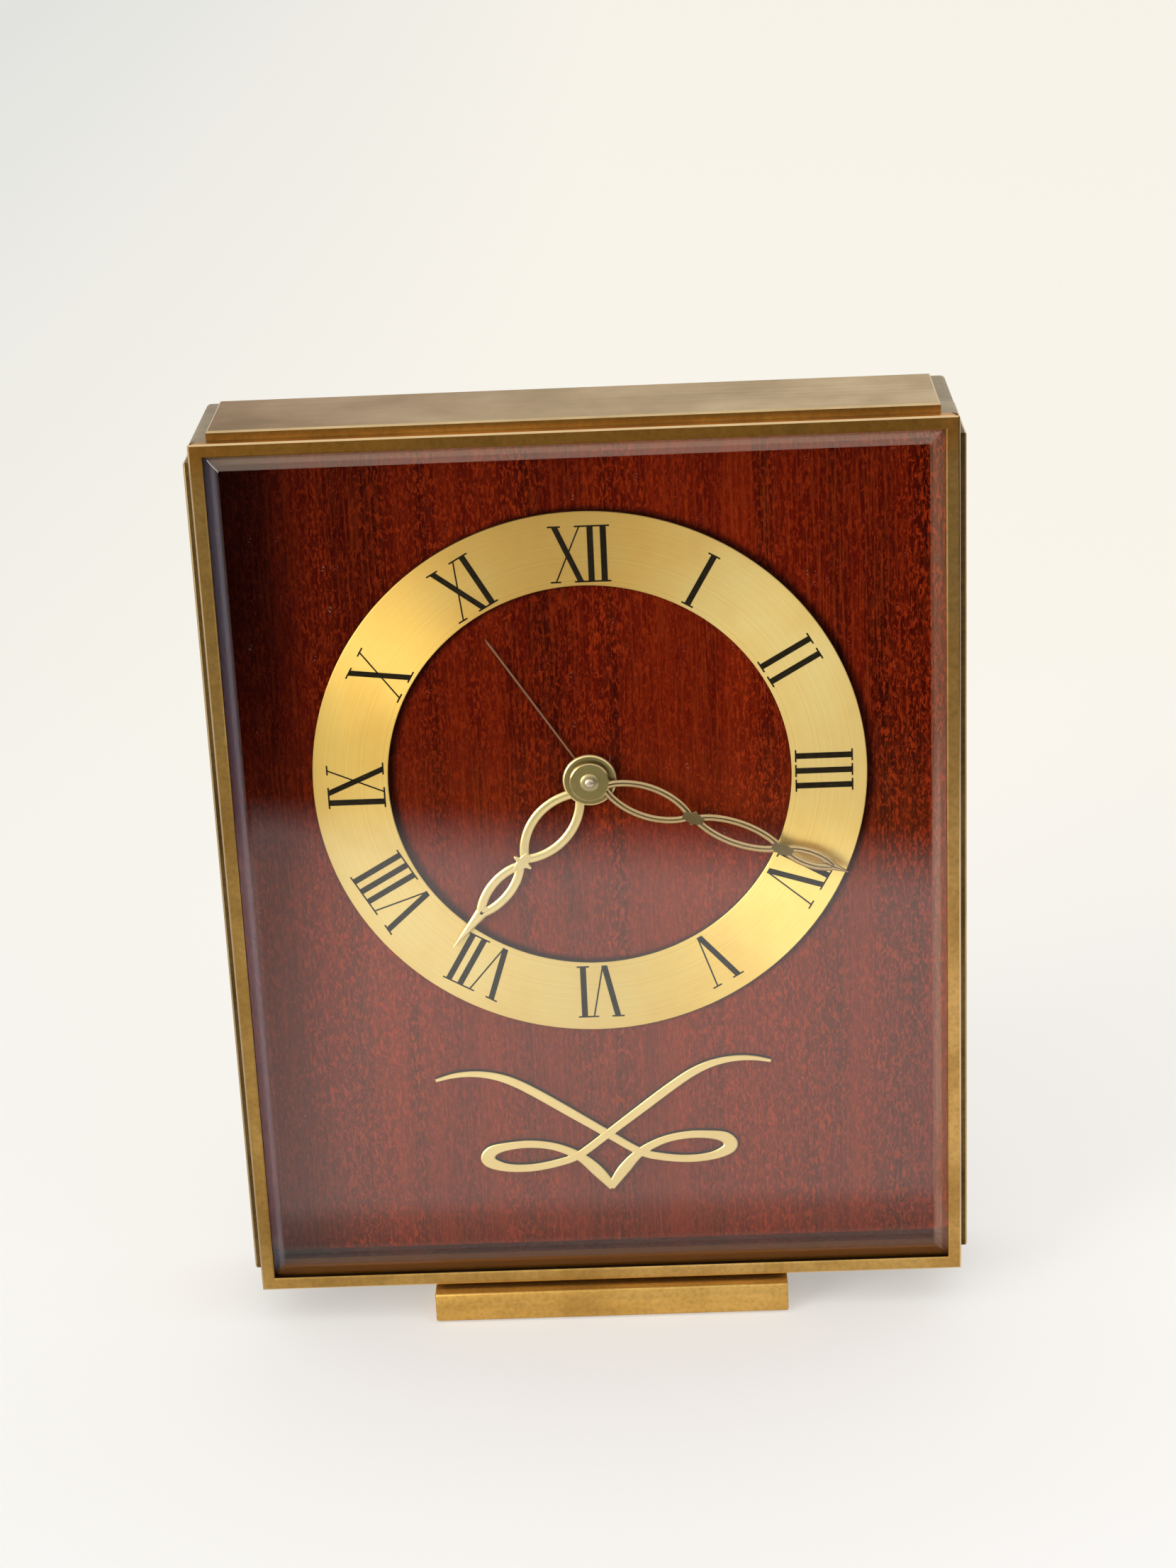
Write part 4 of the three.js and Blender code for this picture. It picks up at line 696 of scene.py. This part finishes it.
# Each panel is its node, the axis it faces along, its lower or upper end, its finish and that of its ends
panelShape = {
    "chamfer": 0.3,
    "topPanel": ("top_panel", 2, 1, "topBrass", "caseBrass"),
    "leftSidePanel": ("left_side_panel", 0, 0, "sideBrass", "shadedEndBrass"),
    "rightSidePanel": ("right_side_panel", 0, 1, "sideBrass", "shadedEndBrass"),
}


def makePanel(name):
    node, axis, end, face, ends = panelShape[name]
    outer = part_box(node)[end][axis]
    bm = bmesh.new()
    verts = block(bm, *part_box(node))
    rim = edgesOf(verts, lambda edge: all(abs(vert.co[axis] - outer) < tiny for vert in edge.verts))
    bmesh.ops.recalc_face_normals(bm, faces=bm.faces)
    for side in bm.faces:
        side.material_index = 0 if abs(side.normal[axis]) > 0.5 else 2
    softenEdges(bm, rim, panelShape["chamfer"] * mm, 3, material=1)
    finishPiece(bm, name, "case", [face, "edgeBrass", ends], [node], smooth=True)


footShape = {"chamfer": 0.35}


def makeFoot():
    bm = bmesh.new()
    verts = block(bm, *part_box("foot_plate"))
    softenEdges(bm, edgesOf(verts, lambda edge: True), footShape["chamfer"] * mm)
    finishPiece(bm, "footBlock", "case", ["footBrass"], ["foot_plate"], smooth=True)


makeBezel()
for panelName in ("topPanel", "leftSidePanel", "rightSidePanel"):
    makePanel(panelName)
makeFoot()
print("case made")


# Dial: ring, numerals and ornament
def onDial(degrees, y=0):
    return Matrix.Translation((0, y, dialCentre[2])) @ Matrix.Rotation(math.radians(degrees), 4, "Y")


def makeRing():
    front, back = frontBack("chapter_ring")
    outer, inner, edge = (ringShape[key] * mm for key in ("outer", "inner", "edge"))
    bm = bmesh.new()
    turned(bm, [(inner, back), (inner, front + edge), (inner + edge, front), (outer - edge, front),
                (outer, front + edge), (outer, back), (inner, back)], 180)
    # Painted shade on the ring's side walls
    for side in bm.faces:
        if side.calc_center_median().y > front + edge * 1.5:
            side.material_index = 1
    finishPiece(bm, "chapterRing", "case", ["ringGold", "shadedWallBrass"], ["chapter_ring"], smooth=True)


# Each numeral stands on the ring with its top outwards: which groups of strokes, and how far to the right
numeralShape = {
    "inner": 33.75, "outer": 43.25, "thick": 1.0, "thin": 0.26, "halfSpread": 2.05,
    "serif": 0.26, "reach": 1.05, "thinReach": 0.84,
    "height": 0.03, "thinHeight": 0.027, "serifHeight": 0.024,
    "groups": {
        1: [("I", 0)], 2: [("I", -1.5), ("I", 1.5)], 3: [("I", -2.6), ("I", 0), ("I", 2.6)],
        4: [("I", -3.2), ("V", 0.7)], 5: [("V", -0.2)], 6: [("V", -1.0), ("I", 2.6)],
        7: [("V", -1.7), ("I", 2.2), ("I", 4.3)], 8: [("V", -2.9), ("I", 1.1), ("I", 3.2), ("I", 5.3)],
        9: [("I", -2.7), ("X", 1.0)], 10: [("X", 0)], 11: [("X", -0.6), ("I", 3.0)],
        12: [("X", -1.9), ("I", 1.8), ("I", 3.9)],
    },
}


def numeralStroke(bm, place, bottom, top, low, high, width, height):
    lean = Matrix(((width, 0, top - bottom, (top + bottom) / 2), (0, height, 0, -height / 2),
                   (0, 0, high - low, (high + low) / 2), (0, 0, 0, 1)))
    bmesh.ops.create_cube(bm, size=1, matrix=place @ lean)


def makeNumerals():
    shape = {key: value * mm for key, value in numeralShape.items() if key != "groups"}
    low, high, half, thin = (shape[key] for key in ("inner", "outer", "halfSpread", "thin"))
    thickStroke, thinStroke = (shape["thick"], shape["height"]), (thin, shape["thinHeight"])
    # A stroke is where its bottom and top stand, and its kind. A serif is its place, level and reach
    strokes = {
        "I": [(0, 0, thickStroke)],
        "V": [(0, -half, thickStroke), (thin, half, thinStroke)],
        "X": [(half, -half, thickStroke), (-half, half, thinStroke)],
    }
    upper, reach, thinReach = high - shape["serif"], shape["reach"], shape["thinReach"]
    serifs = {
        "I": [(0, low, reach), (0, upper, reach)],
        "V": [(-half, upper, reach), (half, upper, thinReach)],
        "X": [(-half, upper, reach), (half, upper, thinReach), (half, low, reach), (-half, low, thinReach)],
    }
    front = frontBack("chapter_ring")[0]
    bm = bmesh.new()
    for hour, groups in numeralShape["groups"].items():
        place = onDial(30 * hour, front)
        for kind, right in groups:
            middle = right * mm
            for bottom, top, (width, height) in strokes[kind]:
                numeralStroke(bm, place, middle + bottom, middle + top, low, high, width, height)
            for across, level, length in serifs[kind]:
                numeralStroke(bm, place, middle + across, middle + across, level, level + shape["serif"],
                              length * 2, shape["serifHeight"])
    finishPiece(bm, "numerals", "case", ["blackEnamel"])


scrollShape = {
    "across": 0.35, "height": 23.3, "tilt": 1.7, "bevel": 0.12, "rise": 0.05, "deeper": 0.02, "wallFrom": 0.2,
    "halfBack": 0.54, "halfFront": 0.45,      # shares of the stroke's width
    # one arm and its loop about the crossing: right, up and width of the stroke
    "stroke": [
        (28.6, 12.1, 0.5), (25.5, 12.8, 0.8), (22.2, 12.9, 1.0), (18.8, 12.3, 1.2), (15.4, 10.9, 1.4),
        (11.5, 8.4, 1.5), (6, 4.4, 1.5), (0, 0, 1.35), (-5.2, -3.7, 1.3), (-9, -5.0, 1.3), (-13.5, -5.65, 1.3),
        (-17.5, -5.4, 1.4), (-20.2, -4.4, 1.9), (-20.9, -3.3, 2.3), (-20, -2.0, 1.9), (-17.5, -1.3, 1.4),
        (-13.5, -1.1, 1.3), (-9.2, -1.9, 1.3), (-5.2, -4.0, 1.5), (-2.2, -7.1, 1.9), (0.15, -10.3, 1.2),
    ],
    "stepsBetween": 6,
}


def smoothPath(points, stepsBetween):
    path = []
    last = len(points) - 1
    for i in range(last):
        before, start, end, after = (Vector(points[min(max(k, 0), last)]) for k in (i - 1, i, i + 1, i + 2))
        for step in range(stepsBetween):
            t = step / stepsBetween
            path.append(0.5 * (2 * start + (end - before) * t
                               + (2 * before - 5 * start + 4 * end - after) * t ** 2
                               + (3 * start - before - 3 * end + after) * t ** 3))
    path.append(Vector(points[-1]))
    return path


def makeScroll():
    front, back = frontBack("scroll_ornament")
    across, height, bevel, rise, deeper, wallFrom = (
        scrollShape[key] * mm for key in ("across", "height", "bevel", "rise", "deeper", "wallFrom"))
    place = (Matrix.Translation((across, 0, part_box("case_band")[0][2] + height))
             @ Matrix.Rotation(-math.radians(scrollShape["tilt"]), 4, "Y"))
    wide, narrow = scrollShape["halfBack"], scrollShape["halfFront"]
    profile = [(-wide, back), (-wide, front + bevel), (-narrow, front),
               (narrow, front), (wide, front + bevel), (wide, back)]
    bm = bmesh.new()
    for side, depth in ((1, 0.0), (-1, deeper)):
        points = [(right * side, up, width) for right, up, width in scrollShape["stroke"]]
        path = smoothPath(points, scrollShape["stepsBetween"])
        sweep(bm, [(x, y + depth) for x, y in profile], strokeStations(path, place, rise))
    # Painted shade on the scroll's side walls
    for side in bm.faces:
        if side.calc_center_median().y > front + wallFrom:
            side.material_index = 1
    finishPiece(bm, "scrollOrnament", "case", ["scrollGold", "shadedWallBrass"], ["scroll_ornament"],
                smooth=True)


makeRing()
makeNumerals()
makeScroll()
print("dial made")


# The pierced hands, turned so many degrees from twelve. A loop is its start, end and half width, a collar
# its place and half width, and the tip its root, half width and end
piercedHands = {
    "minuteHand": {
        "node": "minute_hand", "body": "minute_works", "coats": ["shadedMinuteGold", "shadedLinkBrass", "hubBrass"],
        "turn": 112.6, "hub": 3.4, "bore": 1.2, "strand": 1.2,
        "loops": [(2.6, 17.4, 3.15), (18.9, 33.2, 2.4), (34.6, 42.8, 1.7)],
        "collars": [(18.2, 1.3), (33.9, 1.1)],
        "tip": (42.2, 0.8, 45.6),
    },
    "hourHand": {
        "node": "hour_hand", "body": "hour_works", "coats": ["handGold", "handGold", "hubBrass"],
        "turn": 219.6, "hub": 4.45, "bore": 2.6, "strand": 1.5,
        "loops": [(3.0, 17.6, 3.85), (19.2, 30.0, 2.3)],
        "collars": [(18.4, 1.75)],
        "tip": (29.6, 1.05, 37.7),
    },
}
strandShape = {
    "neck": 0.72, "roundness": 0.8, "steps": 32, "drop": 0.22,
    "roundFront": [(0.5, 1.0), (0.43, 0.58), (0.30, 0.22), (0.12, 0.03)],    # half width and share of the drop
    "collarSteps": [(1.8, 1.2), (1.1, 1.6), (0.45, 1.8)], "collarPoint": 0.15,
    "collarEdge": 0.08, "collarProud": 0.02,
    "tipOverlap": 1.2, "tipEnd": 0.12, "tipShares": (1.3, 2.0, 1.15),      # of the tip's half width
    "hubEdge": 0.3, "fromHub": 0.9,      # the first loop starts at this share of the hub's radius
}


# A strip with a rounded front, its width 1
def rounded(front, back):
    drop = strandShape["drop"] * mm
    left = [(-across, front + share * drop) for across, share in strandShape["roundFront"]]
    right = [(-across, y) for across, y in reversed(left)]
    return [(-0.5, back), *left, *right, (0.5, back)]


def loopStrands(bm, loops, strand, start, profile, place):
    neck = strandShape["neck"]
    for number, (begin, end, half) in enumerate(loops):
        first = start if number == 0 else begin
        path = []
        for step in range(strandShape["steps"] + 1):
            radius = first + (end - first) * step / strandShape["steps"]
            share = 2 * (radius - begin) / (end - begin) - 1
            bulge = max(1 - share * share, 0) ** strandShape["roundness"]
            path.append(Vector((neck + (half - neck) * bulge - strand / 2, radius, strand)))
        for side in (1, -1):
            mirrored = [Vector((right * side, up, width)) for right, up, width in path]
            sweep(bm, profile, strokeStations(mirrored, place))


# The solid link between two loops, with a small point on each side
def collarPlate(bm, centre, half, front, back, place):
    edge, point = strandShape["collarEdge"] * mm, strandShape["collarPoint"]
    profile = [(-0.5, back), (-0.5, front + edge), (-0.42, front),
               (0.42, front), (0.5, front + edge), (0.5, back)]
    lower = [(-along, width) for along, width in strandShape["collarSteps"]] + [(-point, half * 2)]
    upper = [(-along, width) for along, width in reversed(lower)]
    path = [Vector((0, centre + along, width)) for along, width in lower + upper]
    sweep(bm, profile, strokeStations(path, place))


def tipBlade(bm, root, half, end, profile, place):
    widths = [half * share for share in strandShape["tipShares"]] + [strandShape["tipEnd"]]
    along = (root - strandShape["tipOverlap"], root, (root + end) / 2, end)
    sweep(bm, profile, strokeStations([Vector((0, *pair)) for pair in zip(along, widths)], place))


def hubDisc(bm, bore, radius, edge, front, back):
    bore, radius, edge = bore * mm, radius * mm, edge * mm
    profile = [(bore, back), (bore, front + edge * 0.4), (bore + edge * 0.4, front), (radius - edge, front),
               (radius - edge * 0.3, front + edge * 0.3), (radius, front + edge), (radius, back), (bore, back)]
    turned(bm, profile, 72)


def makePiercedHand(name, shape):
    front, back = frontBack(shape["node"])
    place = onDial(shape["turn"])
    profile = rounded(front, back)
    bm = bmesh.new()
    hubDisc(bm, shape["bore"], shape["hub"], strandShape["hubEdge"], front, back)
    for side in bm.faces:
        if side.calc_center_median().y < front + tiny:
            side.material_index = 2
    start = shape["hub"] * strandShape["fromHub"]
    loopStrands(bm, shape["loops"], shape["strand"], start, profile, place)
    strands = len(bm.faces)
    for centre, half in shape["collars"]:
        collarPlate(bm, centre, half, front - strandShape["collarProud"] * mm, back, place)
    bm.faces.ensure_lookup_table()
    for side in bm.faces[strands:]:
        side.material_index = 1
    tipBlade(bm, *shape["tip"], profile, place)
    finishPiece(bm, name, shape["body"], shape["coats"], [shape["node"]], smooth=True)


alarmShape = {"turn": -32.8, "hub": 4.1, "bore": 3.3, "hubEdge": 0.15,
              "path": [(0, 3.7, 0.36), (0, 28.6, 0.44), (0, 29.4, 0.15)]}     # right, up and width


def makeAlarmHand():
    front, back = frontBack("alarm_hand")
    bm = bmesh.new()
    hubDisc(bm, alarmShape["bore"], alarmShape["hub"], alarmShape["hubEdge"], front, back)
    path = [Vector(point) for point in alarmShape["path"]]
    sweep(bm, rounded(front, back), strokeStations(path, onDial(alarmShape["turn"])))
    finishPiece(bm, "alarmHand", "alarm_works", ["alarmGold"], ["alarm_hand"], smooth=True)


colletShape = {"bore": 0.8, "radius": 1.55, "shoulder": 0.135, "topRadius": 1.24, "height": 0.3}


# The collet that holds the minute hand on its tube
def makeCollet():
    front = frontBack("minute_hand")[0]
    bore, radius, shoulder, topRadius, height = (size * mm for size in colletShape.values())
    bm = bmesh.new()
    turned(bm, [(bore, front), (bore, front - height), (topRadius, front - height), (radius, front - shoulder),
                (radius, front), (bore, front)], 48)
    finishPiece(bm, "minuteCollet", "minute_works", ["colletBrass"], smooth=True)


capShape = {"radius": 0.82, "dome": 0.3, "depth": 1.2, "arcStep": 15}


# The domed end of the centre arbor
def makeArborCap():
    front = frontBack("centre_arbor")[0]
    radius, dome, depth = (capShape[key] * mm for key in ("radius", "dome", "depth"))
    arc = [(radius * math.sin(math.radians(angle)), front + dome * (1 - math.cos(math.radians(angle))))
           for angle in range(0, 91, capShape["arcStep"])]
    bm = bmesh.new()
    turned(bm, arc + [(radius, front + depth), (0, front + depth)], 32)
    finishPiece(bm, "arborCap", "centre_works", ["pinBrass"], smooth=True)


for handName, handShape in piercedHands.items():
    makePiercedHand(handName, handShape)
makeAlarmHand()
makeCollet()
makeArborCap()
print("hands made")


# Keys, knobs and stop button: the solids, with their sharp edges outside the cover rounded by so many mm
backShape = {
    "pieces": {
        "time_key_hub": ("timeKeyHub", "time_winding", 0.2),
        "alarm_key_hub": ("alarmKeyHub", "alarm_winding", 0.2),
        "time_key_bow": ("timeKeyBow", "time_key_bow", 0.3),
        "alarm_key_bow": ("alarmKeyBow", "alarm_key_bow", 0.3),
        "hand_set_knob": ("handSetKnob", "hand_setting", 0.15),
        "alarm_set_knob": ("alarmSetKnob", "alarm_setting", 0.15),
        "alarm_stop_button": ("stopButton", "alarm_stop", 0.35),
    },
    "mergeWithin": 2e-7, "flatBelow": 1.5, "sharpOver": 38,     # metres, then degrees
    "shortestEdge": 0.3, "offCover": 0.2,
}


def makeBackPieces():
    outside = frontBack("back_cover")[1] + backShape["offCover"] * mm
    flat, sharp = math.radians(backShape["flatBelow"]), math.radians(backShape["sharpOver"])
    shortest = backShape["shortestEdge"] * mm
    for node, (name, body, width) in backShape["pieces"].items():
        bm = bmesh.new()
        bm.from_mesh(bpy.data.objects[node].data)
        bmesh.ops.remove_doubles(bm, verts=bm.verts, dist=backShape["mergeWithin"])
        bmesh.ops.dissolve_limit(bm, angle_limit=flat, verts=bm.verts, edges=bm.edges)
        rims = edgesOf(bm.verts, lambda edge: edge.calc_face_angle(0) > sharp and edge.calc_length() > shortest
                       and min(vert.co.y for vert in edge.verts) > outside)
        softenEdges(bm, rims, width * mm, 3)
        finishPiece(bm, name, body, ["keyBrass"], [node], smooth=True)


makeBackPieces()
print("back pieces made")


# Carried-over nodes: a finish of their own, or else the one of their slot in the record
nodeFinish = {
    "front_glass": "clearGlass", "dial_board": "mahogany", "foot_felt": "greenFelt",
    "case_band": "bandBrass", "glass_spacer": "spacerBrass", "foot_riser": "caseBrass",
    "back_cover": "sideBrass", "movement_front_plate": "plateBrass", "movement_back_plate": "plateBrass",
}
slotFinish = {"brass": "worksBrass", "gilt": "handGold", "steel": "satinSteel", "spring_steel": "bluedSteel"}


def dressNodes():
    for entry in frame["record"]["subparts"]:
        coat = nodeFinish.get(entry["node"]) or slotFinish.get(entry["material_slot"])
        if not coat:
            continue
        node = bpy.data.objects[entry["node"]]
        if not node.material_slots:
            node.data.materials.append(finishes[coat])
        for slot in node.material_slots:
            slot.material = finishes[coat]


dressNodes()
